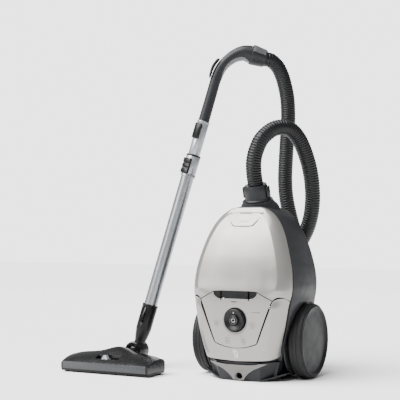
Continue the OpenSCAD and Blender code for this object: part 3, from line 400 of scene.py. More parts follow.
def catmull(points, steps):
    """Catmull-Rom curve through points, as plain tuples."""
    out = []
    n = len(points) - 1
    for i in range(n):
        a, b = points[max(i - 1, 0)], points[i]
        c, d = points[i + 1], points[min(i + 2, n)]
        for k in range(steps):
            u = k / steps
            out.append(tuple(
                0.5 * (2 * q + (r - p) * u + (2 * p - 5 * q + 4 * r - s) * u * u
                       + (3 * q - p - 3 * r + s) * u ** 3)
                for p, q, r, s in zip(a, b, c, d)))
    out.append(tuple(points[n]))
    return out


def resample(path, step):
    """Points along a path at even steps, and its length."""
    at = [0.0]
    for a, b in zip(path, path[1:]):
        at.append(at[-1] + dist(a, b))
    total = at[-1]
    count = max(2, round(total / step))
    out, i = [], 0
    for k in range(count + 1):
        s = total * k / count
        while i < len(path) - 2 and at[i + 1] < s:
            i += 1
        u = (s - at[i]) / max(at[i + 1] - at[i], 1e-9)
        out.append(tuple(p + (q - p) * min(max(u, 0), 1) for p, q in zip(path[i], path[i + 1])))
    return out, total


def tube_mesh(path, radii, sides):
    """Capped tube along a path, with one radius per point."""
    points = []
    n = len(path)
    last = None
    for i in range(n):
        t = (Vector(path[min(i + 1, n - 1)]) - Vector(path[max(i - 1, 0)])).normalized()
        if last is None:
            pick = Vector((0, 1, 0)) if abs(t.y) < 0.9 else Vector((1, 0, 0))
            last = t.cross(pick).normalized()
        last = (last - last.dot(t) * t).normalized()
        w = t.cross(last)
        r = radii[i]
        for k in range(sides):
            a = 2 * pi * k / sides
            points.append(tuple(Vector(path[i]) + r * cos(a) * last + r * sin(a) * w))
    caps = [tuple(reversed(range(sides))), tuple(range((n - 1) * sides, n * sides))]
    return points, loop_quads(n, sides) + caps


def lathe_mesh(profile, sides, place):
    """Closed ring turned from (radius, height) points; place maps (x, y, height) to the row frame."""
    points, faces = [], []
    m = len(profile)
    for k in range(sides):
        a = 2 * pi * k / sides
        for r, h in profile:
            points.append(place(r * cos(a), r * sin(a), h))
    for k in range(sides):
        for j in range(m):
            a, b = k * m + j, k * m + (j + 1) % m
            c = ((k + 1) % sides) * m
            faces.append((a, b, c + (j + 1) % m, c + j))
    return points, faces


# ---------- hose ----------

HOSE_D = 39
RIB_PITCH = 6.2
RIB_DEPTH = 1.5
HOSE_SIDES = 36
INLET_AT = Vector((0, -10, 412))
INLET_TILT = radians(18)
INLET_DIR = Vector((0, -sin(INLET_TILT), cos(INLET_TILT)))
CONNECTOR_TOP = 60
WAND_LEAN = radians(16.2)
WAND_HEADING = radians(34)
DRUM_AT = Vector((-340, -27, 44))
WAND_Z = Vector((sin(WAND_LEAN) * cos(WAND_HEADING),
                 sin(WAND_LEAN) * sin(WAND_HEADING), cos(WAND_LEAN)))
WAND_X = Vector((cos(WAND_LEAN) * cos(WAND_HEADING),
                 cos(WAND_LEAN) * sin(WAND_HEADING), -sin(WAND_LEAN)))
WAND_Y = WAND_Z.cross(WAND_X)
BOW_Z = 829
COLLAR_END = 112
HOSE_START = INLET_AT + (CONNECTOR_TOP + 0.2) * INLET_DIR
HOSE_END = DRUM_AT + WAND_Z * BOW_Z + WAND_X * (COLLAR_END + 0.2)
HOSE_MEET = Vector((19, 209, 195))
MEET_DIR = Vector((14, 9, 88)).normalized()


def wand_point(x, y, z):
    return tuple(DRUM_AT + WAND_X * x + WAND_Y * y + WAND_Z * z)


def inlet_point(x, y, z):
    across = Vector((0, cos(INLET_TILT), sin(INLET_TILT)))
    return tuple(INLET_AT + Vector((1, 0, 0)) * x + across * y + INLET_DIR * z)


# The route's points, in metres, as the CAD has them in millimetres
HOSE_FRONT_ROUTE = [
    HOSE_START * MM, (HOSE_START + 4 * INLET_DIR) * MM, (HOSE_START + 30 * INLET_DIR) * MM,
    (0.002, -0.043, 0.525), (0.008, -0.041, 0.553), (0.020, -0.031, 0.583), (0.041, -0.006, 0.607),
    (0.064, 0.026, 0.609), (0.080, 0.052, 0.586), (0.091, 0.073, 0.546), (0.098, 0.088, 0.500),
    (0.099, 0.099, 0.450), (0.094, 0.105, 0.405), (0.082, 0.109, 0.365), (0.060, 0.112, 0.325),
    (0.030, 0.115, 0.285), (-0.005, 0.119, 0.245), (-0.038, 0.126, 0.205), (-0.060, 0.139, 0.168),
    (-0.063, 0.157, 0.136), (-0.045, 0.176, 0.120), (-0.016, 0.191, 0.126), (0.008, 0.202, 0.152),
    (HOSE_MEET - 4 * MEET_DIR) * MM, (HOSE_MEET - 0.1 * MEET_DIR) * MM]
HOSE_REAR_ROUTE = [
    HOSE_MEET * MM, (HOSE_MEET + 4 * MEET_DIR) * MM, (0.022, 0.211, 0.240), (0.018, 0.210, 0.290),
    (0.008, 0.206, 0.340), (-0.004, 0.200, 0.390), (-0.013, 0.194, 0.440), (-0.016, 0.192, 0.490),
    (-0.014, 0.193, 0.550), (-0.011, 0.195, 0.610), (-0.009, 0.196, 0.660), (-0.011, 0.195, 0.705),
    (-0.017, 0.191, 0.742), (-0.024, 0.187, 0.768), (-0.033, 0.1805, 0.789),
    (HOSE_END + 16 * WAND_X) * MM, (HOSE_END + 3 * WAND_X) * MM, HOSE_END * MM]


def make_hose(name, route, node):
    """Ribbed hose along a route: each rib is a rounded ring, and the grooves between are narrow."""
    smooth = catmull([tuple(Vector(p) / MM) for p in route], 12)
    path, length = resample(smooth, RIB_PITCH / 7)
    radii = []
    for i in range(len(path)):
        s = i * length / (len(path) - 1)
        wave = abs(sin(pi * s / RIB_PITCH))
        radii.append(HOSE_D / 2 - RIB_DEPTH + RIB_DEPTH * sqrt(wave))
    piece = add_mesh(name, tube_mesh(path, radii, HOSE_SIDES), "hose", None, "hose_black", 60)
    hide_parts(node)
    centre = resample(smooth, 10)[0]
    return piece, [tuple(c * MM for c in p) for p in centre], length * MM


def make_hoses():
    front, path, length = make_hose("ribbed_hose_front", HOSE_FRONT_ROUTE, "hose_front")
    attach(front, "root")
    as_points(path)
    rear, path, length = make_hose("ribbed_hose_rear", HOSE_REAR_ROUTE, "hose_rear")
    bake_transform(rear)
    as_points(path)


# ---------- body surface ----------

Y_SIDE = -60
WIDTH_TABLE = [(0, 80), (45, 93), (88, 106), (131, 116.5), (174, 124.5), (208, 129.5), (236, 130),
               (269, 125.5), (315, 112.5), (357, 95), (389, 74), (406, 53), (413, 36), (416, 20)]
FRONT_TABLE = [(-5, -121), (45, -136), (92, -142), (150, -145), (205, -145), (240, -138.5),
               (300, -125), (366, -102), (397, -82), (420, -64)]
EDGE_TABLE = [(-5, -90), (55, -96), (88, -105), (131, -108), (174, -108.5), (190, -106), (208, -101),
              (236, -98), (269, -93), (315, -85), (357, -73), (389, -65), (420, -62)]
EDGE = 999


def smooth_at(table, v):
    """Smooth value of a table at v, through every row."""
    i = 0
    while i < len(table) - 2 and v > table[i + 1][0]:
        i += 1

    def slope(k):
        a, b = table[max(k - 1, 0)], table[min(k + 1, len(table) - 1)]
        return (b[1] - a[1]) / (b[0] - a[0])
    h = table[i + 1][0] - table[i][0]
    u = (v - table[i][0]) / h
    return ((2 * u ** 3 - 3 * u ** 2 + 1) * table[i][1] + (u ** 3 - 2 * u ** 2 + u) * h * slope(i)
            + (3 * u ** 2 - 2 * u ** 3) * table[i + 1][1] + (u ** 3 - u ** 2) * h * slope(i + 1))


def half_w(z):
    return smooth_at(WIDTH_TABLE, z)


def front_y(z):
    return smooth_at(FRONT_TABLE, z)


def edge_y(z):
    return smooth_at(EDGE_TABLE, z)


def front_point(p, z, inset):
    """Point on the front. p runs from 0 at the middle, and p * p is its angle in degrees."""
    a = radians(p * p)
    x = copysign((half_w(z) - inset) * sqrt(max(sin(a), 0)), p)
    return (x, Y_SIDE - (Y_SIDE - front_y(z) - inset) * sqrt(max(cos(a), 0)), z)


def p_at(x, z):
    q = min(abs(x) / half_w(z), 1)
    return copysign(sqrt(degrees(asin(q * q))), x)


def p_edge(z):
    c = ((Y_SIDE - edge_y(z)) / (Y_SIDE - front_y(z))) ** 2
    return sqrt(degrees(acos(c)))


def on_front(line):
    return [((copysign(1, x) if abs(x) == EDGE else p_at(x, z) / p_edge(z)), z) for x, z in line]


def mirrored(line):
    return [(-x, z) for x, z in reversed(line)] + list(line[1:])


def front_grid(line_a, line_b, cols, inset, lift, fine, relief):
    a, b = catmull(on_front(line_a), fine), catmull(on_front(line_b), fine)
    rise = catmull([(v, 0) for v in lift], fine) if lift else [(0, 0)] * len(a)
    grid = []
    for (qa, za), (qb, zb), (up, _) in zip(a, b, rise):
        row = []
        for j in range(cols + 1):
            u = j / cols
            q, z = qa + (qb - qa) * u, za + (zb - za) * u + up * 4 * u * (1 - u)
            q = max(-1, min(1, q))
            p = q * p_edge(z)
            out = relief(front_point(p, z, 0)[0], z) if relief else 0
            row.append(front_point(p, z, inset - out))
        grid.append(row)
    return grid


def front_piece(name, line_a, line_b, cols, mat, body, slot, out=0.0, t=3.0, lift=None, fine=6,
                relief=None, edge=0.7):
    """Smooth shell on the front surface between two lines of (x, z) points, dark inside its seams."""
    outer = front_grid(line_a, line_b, cols, -out, lift, fine, relief)
    inner = front_grid(line_a, line_b, cols, t - out, lift, fine, None)
    return shell_piece(name, outer, inner, mat, body, slot, edge)


def shell_piece(name, outer, inner, mat, body, slot, edge):
    points, faces = shell_mesh(outer, inner)
    front_faces = (len(outer) - 1) * (len(outer[0]) - 1)
    piece = add_mesh(name, (points, faces), mat, body, slot, 28, "seam", front_faces)
    if edge:
        soften(piece, edge).modifiers["edges"].material = 0
    return piece


def front_sheet(name, outline, rows, cols, mat, body, slot, t, relief):
    """Shell on the front surface; outline gives (height, half width, drop of the middle)."""
    low, high = outline[0][0], outline[-1][0]
    outer, inner = [], []
    for r in range(rows + 1):
        level = low + (high - low) * r / rows
        half = smooth_at([(z, w) for z, w, _ in outline], level)
        drop = smooth_at([(z, d) for z, _, d in outline], level)
        line_out, line_in = [], []
        for c in range(cols + 1):
            x = half * (2 * c / cols - 1)
            z = level - drop * max(0, 1 - (abs(x) / 58) ** 4)
            out = relief(x, z)
            line_out.append(front_point(p_at(x, z), z, -out))
            line_in.append(front_point(p_at(x, z), z, t))
        outer.append(line_out)
        inner.append(line_in)
    return shell_piece(name, outer, inner, mat, body, slot, 0)


PRINT_PROUD = 0.12
PRINT_SUNK = 0.3


def stroke(name, line, width, mat, body, slot, relief=None, closed=False, lie=0.0):
    """Printed line on the front surface, through (x, z) points, raised by lie."""
    n = len(line)
    points, faces = [], []
    for i, (x, z) in enumerate(line):
        a = line[(i - 1) % n if closed else max(i - 1, 0)]
        b = line[(i + 1) % n if closed else min(i + 1, n - 1)]
        t = Vector((b[0] - a[0], b[1] - a[1])).normalized()
        for deep in (-PRINT_PROUD, PRINT_SUNK):
            for side in (-0.5, 0.5):
                sx, sz = x - t.y * width * side, z + t.x * width * side
                out = relief(sx, sz) if relief else 0
                points.append(front_point(p_at(sx, sz), sz, deep - out - lie))
    steps = n if closed else n - 1
    for i in range(steps):
        a, b = 4 * i, 4 * ((i + 1) % n)
        faces += [(a, a + 1, b + 1, b), (a + 2, b + 2, b + 3, a + 3), (a, b, b + 2, a + 2),
                  (a + 1, a + 3, b + 3, b + 1)]
    if not closed:
        e = 4 * (n - 1)
        faces += [(0, 2, 3, 1), (e, e + 1, e + 3, e + 2)]
    return add_mesh(name, (points, faces), mat, body, slot, 30)


CREASE_RISE = 3.6
SEAM_Z = 197
DISH = 1.2
# Crease between the front and its chamfered sides, as half width and height
CREASE = [(46, 40), (60, 54), (78, 90), (86, 130), (92, 174), (97, 210), (101, 240), (97, 270), (86, 315),
          (70, 355), (52, 384), (30, 402)]


def crease_x(z):
    table = [(height, x) for x, height in CREASE]
    return smooth_at(table, min(max(z, 41), 401))


def crease_relief(x, z):
    """Raises the surface along the crease, so that the side beyond it is a flat chamfer.

    It dies out at the lid's lower seam, where the lid swings close over the panel.
    """
    away = abs(x) - crease_x(z)
    height = CREASE_RISE * min(1, max(0, (abs(z - SEAM_Z) - 4) / 16))
    if away < 0:
        return height * max(0, 1 + away / 30) ** 2
    reach = max(half_w(z) * 0.985 - crease_x(z), 8)
    return height * max(0, 1 - away / reach) ** 1.3


LID_LOW = mirrored([(0, 214.8), (20, 214.8), (40, 214.6), (57, 213), (66, 208.6), (80, 201.6),
                    (93.5, 194.7), (100, 199), (108, 201.8), (118, 199.5), (EDGE, 192)])
LID_TOP_Z = 412
PANEL_TOP = mirrored([(0, 196.4), (20, 196.4), (43, 196.4), (55.5, 205), (57.5, 210.6), (66, 206.6),
                      (79, 199.9), (92.5, 192.6)])
PEDAL_IN = mirrored([(0, 79.2), (14, 79.6), (26, 81.2), (38, 84), (48, 87.2), (56, 92), (63, 108),
                     (71, 129), (79.5, 152), (88, 175), (94.6, 192)])
PEDAL_OUT = mirrored([(0, 48.6), (26, 49.6), (50, 50.6), (72, 52), (86, 54.4), (EDGE, 62), (EDGE, 84),
                      (EDGE, 108), (EDGE, 136), (EDGE, 165), (EDGE, 190)])
KNOB_R = 27
KNOB_Z = 146
CUP_R = 29.6
DIAL_Y = -138
CUP_FLOOR_Y = -134.4
POINTER_R = 17.5
BUTTON_BASE_Y, BUTTON_RIM_Y = -148.4, -154.0
ARM_X, NOTCH_HALF = 36.3, 1.6
HINGE_Y, HINGE_Z = -138, 195
PIVOT_Y, PIVOT_Z = -131.5, 186
ARM_SPAN = (35.1, 37.5)


def lid_relief(x, z):
    """Crease at the sides, and a finger scoop above the latch."""
    out = crease_relief(x, z)
    rim = 399.5 - 0.0012 * x * x
    inside = max(0, min(1, (46 - abs(x)) / 5)) * max(0, min(1, (z - rim) / 1.5))
    return out * (1 - 0.8 * inside) - 2.8 * inside * max(0, min(1, (411.5 - z) / 9))


def panel_relief(x, z):
    """Dished around the dial."""
    r = hypot(x, z - KNOB_Z)
    return -DISH * max(0, 1 - (r - CUP_R) / 6) ** 2 if r > CUP_R else -DISH


def pedal_relief(x, z):
    """Crease at the sides, fading towards the lower edge."""
    return crease_relief(x, max(z, 62)) * max(0, min(1, (z - 50) / 14))


def bumper_relief(x, z):
    """A rib along the top, a hollow under it, and a spout that stands out round the lead's outlet."""
    spout = exp(-((x - 3) / 17) ** 4 - ((z - 12) / 15) ** 2)
    return 3.0 * spout - 2.0 * exp(-((z - 30) / 8) ** 2) * (1 - 0.4 * spout)


def insert_relief(x, z):
    return -0.7 * exp(-((z - 205) / 6) ** 2)


LATCH_TOP = [(x, 397 - abs(x) * 0.03) for x in (-41, -27, -14, 0, 14, 27, 41)]
LATCH_LOW = [(x, 367.5 + abs(x) * 0.02 + (1.2 if abs(x) > 20 else 0)) for x in (-25, -16, -8, 0, 8, 16, 25)]


def facing(y0):
    """Maps a lathe's axis to the dial's, with heights measured forwards from y0."""
    return lambda x, y, h: (x, y0 - h, KNOB_Z + y)


def make_lid():
    top = [(x * half_w(LID_TOP_Z) / half_w(200), LID_TOP_Z) for x, z in LID_LOW]
    top[0], top[-1] = (-EDGE, LID_TOP_Z), (EDGE, LID_TOP_Z)
    lid = front_piece("lid_shell", top, LID_LOW, 120, "silver", "lid", "silver_shell", relief=lid_relief)
    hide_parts("dust_lid")
    under = front_piece("latch_shadow", [(x * 1.05, z + 1.3) for x, z in LATCH_TOP],
                        [(x * 1.075, z - 1.5) for x, z in LATCH_LOW], 24, "seam", "lid", "black_plastic",
                        out=0.35, t=1.2, edge=0)
    under.data.materials[0] = MAT["seam"]
    latch = front_piece("latch_flap", LATCH_TOP, LATCH_LOW, 24, "silver", "latch", "silver_shell",
                        out=2.1, t=1.6, edge=0.8)
    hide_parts("lid_latch")
    for k, x in enumerate((-9, -3, 3, 9)):
        stroke(f"latch_rib_{k}", [(x, 379), (x + 2.6, 379)], 2.2, "mark", "latch", "silver_shell", lie=2.1)


def make_panel():
    panel = front_piece("panel_shell", PANEL_TOP,
                        [(x * 0.58, 80.5 + (abs(x) / 92.5) ** 2 * 11.5) for x, z in PANEL_TOP],
                        90, "silver", "root", "silver_shell", relief=panel_relief, fine=8, edge=0)
    tools = [drum(CUP_R, -2, 14, facing(DIAL_Y))]
    tools += [block((side * ARM_X - NOTCH_HALF, -160, 191.5), (side * ARM_X + NOTCH_HALF, -120, 216))
              for side, _ in SIDES]
    carve(panel, *tools)
    soften(panel, 0.6).modifiers["edges"].material = 0
    cup = [(CUP_R - 0.1, 0), (CUP_R + 2, 0), (CUP_R + 2, 4.4), (CUP_R + 0.8, 5.7), (CUP_R + 0.2, 5.9),
           (CUP_R - 0.1, 5.4), (CUP_R - 0.1, 2)]
    add_mesh("dial_cup_rim", lathe_mesh(cup, 96, facing(DIAL_Y)), "silver", "root", "silver_shell", 40)
    ring = [(4.06, 0), (CUP_R + 1, 0), (CUP_R + 1, 1.6), (4.06, 1.6)]
    add_mesh("dial_cup_floor", lathe_mesh(ring, 96, facing(CUP_FLOOR_Y)), "black", "root",
             "black_plastic", 40)
    for side, end in SIDES:
        for name, lo, hi in (("hinge", (42, -142.3, 189), (46, -134, 197.6)),
                             ("pivot", (85, -138.3, 181), (88, -127, 191))):
            corners = zip((side * lo[0], *lo[1:]), (side * hi[0], *hi[1:]))
            low, high = zip(*(sorted(pair) for pair in corners))
            piece = add_mesh(f"{name}_bracket_{end}", block(low, high), "black", "root", "silver_shell",
                             30)
            soften(piece, 0.6)
    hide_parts("control_panel")


def make_dial():
    """Knurled dial with a raised rim, and a push button with a power ring in its middle."""
    profile = [(4, -11), (4, 0), (KNOB_R, 0), (KNOB_R, 10.5), (KNOB_R - 1, 13.2), (KNOB_R - 2.8, 15),
               (KNOB_R - 4.6, 15), (KNOB_R - 5.8, 14.0), (13.1, 13.3), (12.5, 12.8), (12.5, 8), (0, 8),
               (0, -11)]

    def knurled(x, y, h):
        r = hypot(x, y)
        if r > KNOB_R - 1.5 and h > 0:
            k = 1 - 0.016 * (0.5 + 0.5 * cos(60 * atan2(y, x)))
            x, y = x * k, y * k
        return (x, DIAL_Y - h, KNOB_Z + y)
    dial = add_mesh("dial_knob", lathe_mesh(profile, 360, knurled), "black", "dial", "black_plastic", 40)
    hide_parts("power_dial")
    line = [(0, y, KNOB_Z + POINTER_R) for y in (-147.5, -152.2, -152.6)]
    add_mesh("dial_pointer", tube_mesh(line, [1.1, 1.1, 0.8], 20), "light_mark", "dial", "black_plastic",
             40)
    profile = [(0, 0), (12.1, 0), (12.1, 4.4), (11.6, 5.2), (10.6, 5.6), (6, 5.2), (0, 5.1)]
    button = add_mesh("dial_button", lathe_mesh(profile, 96, facing(BUTTON_BASE_Y)), "black", "button",
                      "mid_grey", 40)
    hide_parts("power_button")
    for name, r, thick, span in (("button_ring", 9.2, 0.35, 360), ("power_arc", 4.6, 0.32, 290)):
        start = 90 + (360 - span) / 2
        turns = [radians(start + span * k / 48) for k in range(49)]
        line = [(r * cos(turn), r * sin(turn)) for turn in turns]
        y = BUTTON_RIM_Y + (0.15 if r > 8 else 0.5)
        add_mesh(name, tube_mesh([(x, y, KNOB_Z + z) for x, z in line], [thick] * 49, 8),
                 "grey" if r > 8 else "light_mark", "button", "mid_grey", 60)
    line = [(0, BUTTON_RIM_Y + 0.5, KNOB_Z + z) for z in (1.2, 6.4)]
    add_mesh("power_bar", tube_mesh(line, [0.32, 0.32], 8), "light_mark", "button", "mid_grey", 60)


def make_insert():
    """Finger recess in three pieces, with room for the lid's thin arms between them."""
    under = [(0, 197.0), (30, 197.0), (43, 197.5), (52.5, 203), (56, 209)]
    for name, xs in (("recess_left", (-56, -52.5, -46, -38.5)),
                     ("recess_middle", (-34.2, -17, 0, 17, 34.2)),
                     ("recess_right", (38.5, 46, 52.5, 56))):
        top = [(x, 214.3 - max(0, abs(x) - 40) * 0.13) for x in xs]
        low = [(x, smooth_at(under, abs(x))) for x in xs]
        front_piece(name, top, low, 16, "black", "root", "black_plastic", out=-0.5, t=1.6,
                                  relief=insert_relief, edge=0.3)
    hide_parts("grip_insert")
    side_view = [(-141, 195), (-140.8, 193.4), (-138, 192), (-135.2, 193.4), (-134.6, 197), (-134, 230),
                 (-136.9, 230), (-139.4, 216), (-140.6, 199)]
    for side, name in SIDES:
        plate = slab(side_view, *(side * x for x in ARM_SPAN))
        arm = add_mesh(f"lid_arm_{name}", plate, "black", "lid", "black_plastic", 30)
        carve(arm, drum(2.06, 30 * side, 42 * side, lambda x, y, h: (h, HINGE_Y + x, HINGE_Z + y), 32))
        soften(arm, 0.3)
        if side > 0:
            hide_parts("lid_arms")


def make_pedal():
    n = len(PEDAL_IN) - 1
    lift = [8 if i in (0, n) else 2 if i in (1, n - 1) else 0 for i in range(n + 1)]
    pedal = front_piece("pedal_shell", PEDAL_IN, PEDAL_OUT, 36, "silver", "pedal", "silver_shell",
                        lift=lift, relief=pedal_relief, edge=0.8)
    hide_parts("rewind_pedal")

    def pivot_point(x, y, h):
        return (h, PIVOT_Y + x, PIVOT_Z + y)
    for side, name in SIDES:
        add_mesh(f"pedal_pivot_{name}", drum(4, 93 * side, 99 * side, pivot_point, 32), "black", "pedal",
                 "silver_shell", 40)
    # cord mark: a plug with two pins and its lead
    for name, line in (("plug", [(-5, 68), (1, 72), (5, 66), (-1, 62)]),
                       ("pin_a", [(-4, 70.5), (-7, 73.5)]), ("pin_b", [(-1, 72.5), (-4, 75.5)]),
                       ("lead", [(2, 63.6), (5, 61), (4.4, 57.6), (0, 57), (-4, 58.6)])):
        stroke(f"cord_mark_{name}", line, 1.1, "light_mark", "pedal", "silver_shell", pedal_relief,
               closed=name == "plug")


def make_panel_marks():
    """Generic marks round the dial: an indicator bar, four small pictures and ticks."""
    def mark(name, line, width=0.9, mat="mark", closed=False):
        stroke(name, line, width, mat, "root", "silver_shell", panel_relief, closed)
    mark("indicator_bar", [(-9, 189), (6, 189)], 2.2, "dark_mark")
    mark("indicator_line", [(-5, 183.6), (2, 183.6)], 0.8)
    places = {"floor": (-48, 138), "carpet": (46, 136), "curtain": (-20, 98), "chair": (22, 98)}
    for name, (x, z) in places.items():
        mark(f"{name}_frame", [(x - 6, z - 5), (x + 6, z - 5), (x + 6, z + 6), (x - 6, z + 6)], 0.9,
             closed=True)
        for k in range(3):
            mark(f"{name}_line_{k}", [(x - 4, z - 2.4 + 2.6 * k), (x + 4 - k, z - 2.4 + 2.6 * k)], 0.9)
        mark(f"{name}_base", [(x - 4, z - 8), (x + 4, z - 8)], 0.8)
    for k, (x, z) in enumerate(((-38, 140), (36, 138), (-16, 109), (15, 109), (34, 163))):
        mark(f"tick_{k}", [(x - 0.9, z), (x + 0.9, z)], 1.8, "dark_mark")
    for k, x in enumerate((42, 48, 54, 60)):
        mark(f"level_{k}", [(x, 165.5), (x + 3.6, 165.5)], 1.6 + 0.5 * k)


BUMPER = [(2.6, 14, 0), (8, 17, 0), (14, 22, 0), (22, 31, 0), (30, 45, 0), (37, 61, 1), (44, 76, 4.5)]


OUTLET_AT = (3, -121, 13.8)
OUTLET_TILT = radians(105)


def outlet_point(x, y, h):
    a = OUTLET_TILT
    x0, y0, z0 = OUTLET_AT
    return (x0 + x, y0 + y * cos(a) - h * sin(a), z0 + y * sin(a) + h * cos(a))


def make_bumper():
    bumper = front_sheet("bumper_shell", BUMPER, 40, 60, "bumper", "root", "mid_grey", 3.0, bumper_relief)
    carve(bumper, drum(11.0, -12, 20, outlet_point, 48))
    soften(bumper, 0.7).modifiers["edges"].material = 0
    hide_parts("rear_bumper")
    ring = [(7.6, -8), (10.8, -8), (10.8, 2.9), (12.0, 3.2), (12.4, 4.4), (11.8, 5.9), (10.2, 6.5),
            (8.6, 6.1), (7.6, 4.6)]
    outlet = add_mesh("lead_outlet_ring", lathe_mesh(ring, 64, outlet_point), "bumper", "root",
                      "soft_rubber", 40)
    ring = [(7.0, -8.2), (7.6, -8.2), (7.6, 4.4), (7.0, 4.0)]
    add_mesh("lead_outlet_liner", lathe_mesh(ring, 64, outlet_point), "rubber", "root", "soft_rubber", 40)
    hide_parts("cord_outlet")


def make_front():
    make_lid()
    make_panel()
    make_dial()
    make_insert()
    make_pedal()
    make_panel_marks()
    make_bumper()


# ---------- carried-over CAD pieces ----------

def dress(node, mat, width=0.0, angle=35):
    """A better material, smooth shading and rounded edges on a CAD node."""
    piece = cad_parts[node]
    piece.data.materials.clear()
    piece.data.materials.append(MAT[mat])
    piece.data.shade_smooth()
    piece.data.set_sharp_from_angle(angle=radians(angle))
    if width:
        weld = piece.modifiers.new("weld", "WELD")
        weld.merge_threshold = 0.00002
        soften(piece, width, 2, angle)


DRESS = {
    "upper_casing": ("side", 0.5), "base_casing": ("charcoal", 0.0),
    "hinge_pin": ("steel", 0.0),
    "circuit_board": ("board", 0.0), "inlet_collar": ("charcoal", 0.6),
    "dust_bay": ("bay", 0.0), "lid_seal": ("rubber", 0.4), "bag_plate": ("card", 0.3),
    "motor_filter": ("foam", 0.8), "motor_can": ("steel", 0.6), "fan_housing": ("bay", 0.6),
    "impeller": ("steel", 0.0), "motor_mounts": ("rubber", 0.5), "reel_drum": ("bay", 0.4),
    "wound_cord": ("rubber", 0.0), "reel_spring_case": ("steel", 0.5), "exhaust_grille": ("black", 0.4),
    "case_screws": ("steel", 0.2), "wheel_axle": ("steel", 0.3),
    "castor_yoke": ("black", 0.4), "castor_wheel": ("rubber", 0.8), "hose_connector": ("charcoal", 0.5),
    "release_tab_left": ("black", 0.6), "release_tab_right": ("black", 0.6),
    "hose_end_collar": ("charcoal", 0.8), "upper_sleeve": ("sleeve", 0.3),
    "sleeve_button": ("black", 1.2), "inner_tube": ("tube", 0.0), "outer_tube": ("tube", 0.0),
    "latch_sleeve": ("sleeve", 0.4), "latch_slider": ("black", 0.8), "neck_pipe": ("black", 0.5),
    "neck_button": ("gloss", 0.7), "neck_yoke": ("head", 0.8),
    "front_strip": ("strip", 0.4), "sole_plate": ("black", 0.5), "floor_selector": ("sleeve", 0.5),
    "brush_strips": ("rubber", 0.0),
    "handle_inlay": ("grey", 0.0),
}


def dress_all():
    for node, (mat, width) in DRESS.items():
        dress(node, mat, width)


# ---------- wheels ----------

WHEEL_Z = 90
WHEEL = [(0, 143.4), (20, 143.2), (45, 142.6), (66, 141.6), (72, 141.2), (74.5, 141.7), (77, 143.4),
         (79.4, 145.9), (81, 146.7), (83, 146.9), (84.6, 146.1), (85, 144.4), (85, 112), (77, 112),
         (77, 125), (18, 125), (18, 113), (5.06, 113), (5.06, 137.4), (14, 137.4), (14, 140), (0, 140)]
TYRE = [(85.01, 113), (88, 113), (89.4, 113.8), (90, 115.6), (90, 122.2), (89.0, 122.8), (89.0, 124.2),
        (90, 124.8), (90, 131.2), (89.0, 131.8), (89.0, 133.2), (90, 133.8), (90, 139.6), (89.2, 142),
        (87.6, 143.4), (85.01, 143.7)]


def make_wheels():
    for side, name in reversed(SIDES):
        def place(x, y, h):
            return (side * h, x, WHEEL_Z + y)
        wheel = add_mesh(f"wheel_disc_{name}", lathe_mesh(WHEEL, 128, place), "disc", f"{name}_wheel",
                         "charcoal_shell", 32)
        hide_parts(f"wheel_{name}")
        tyre = add_mesh(f"wheel_tyre_{name}", lathe_mesh(TYRE, 128, place), "tyre", f"{name}_wheel",
                        "tyre_rubber", 40)
        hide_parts(f"tyre_{name}")


# ---------- underside ----------

UNDERSIDE_HALF = [(60, 16), (97, 22), (97, 100), (97, 165), (122, 190), (127, 212), (127.5, 236),
                  (123, 269), (110, 315), (92.5, 357), (72, 387), (48, 404), (23, 411)]
UNDERSIDE_MID = (0, 215)
UNDERSIDE_WALL = 3
UNDERSIDE_REACH = 130
UNDERSIDE_ROWS = [(1.0, 46.2), (0.996, 52), (0.985, 58), (0.972, 63.5), (0.95, 68), (0.92, 71.4),
                  (0.88, 73.6), (0.82, 75.0), (0.765, 75.3), (0.758, 76)]


def make_underside():
    """Dished lid with rounded sides, exhaust window, castor pocket and screw holes."""
    outline = catmull(UNDERSIDE_HALF + [(0, 412)] + [(-x, z) for x, z in reversed(UNDERSIDE_HALF)], 5)
    n = len(outline)
    cx, cz = UNDERSIDE_MID
    points, faces = [], []
    for wall in (0, UNDERSIDE_WALL):
        for k, y in UNDERSIDE_ROWS:
            k -= wall / UNDERSIDE_REACH
            y -= 0 if y < 50 else wall * min(1, (y - 46) / 20)
            points += [(cx + (x - cx) * k, y, cz + (z - cz) * k) for x, z in outline]
    rows = len(UNDERSIDE_ROWS)
    for base in (0, rows):
        for r in range(rows - 1):
            for k in range(n):
                a, b = (base + r) * n + k, (base + r) * n + (k + 1) % n
                faces.append((a, b, b + n, a + n) if base else (a, a + n, b + n, b))
        faces.append(tuple(range((base + rows - 1) * n, (base + rows) * n)))
    faces += [(k, (k + 1) % n, rows * n + (k + 1) % n, rows * n + k) for k in range(n)]
    shell = add_mesh("underside_lid", (points, faces), "charcoal", "root", "mid_grey", 30)

    def back(x0, z0):
        return lambda x, y, h: (x0 + x, h, z0 + y)
    tools = [block((-54, 62, 112), (54, 82, 168)), drum(24, 62, 82, back(0, 330))]
    tools += [drum(2.0, 62, 82, back(x, z), 24) for x, z in
              ((-70, 205), (70, 205), (-60, 290), (60, 290), (-66, 82), (66, 82))]
    carve(shell, *tools)
    soften(shell, 0.5)
    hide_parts("underside_shell")


# ---------- handle ----------

BAND_HALF_ANGLE = 64
HANDLE_BOW = [(0, 738, 14), (3, 764, 14.3), (12, 788, 14.8), (29, 811, 16.8), (50, 826, 20),
              (70.4, BOW_Z, 23.5)]


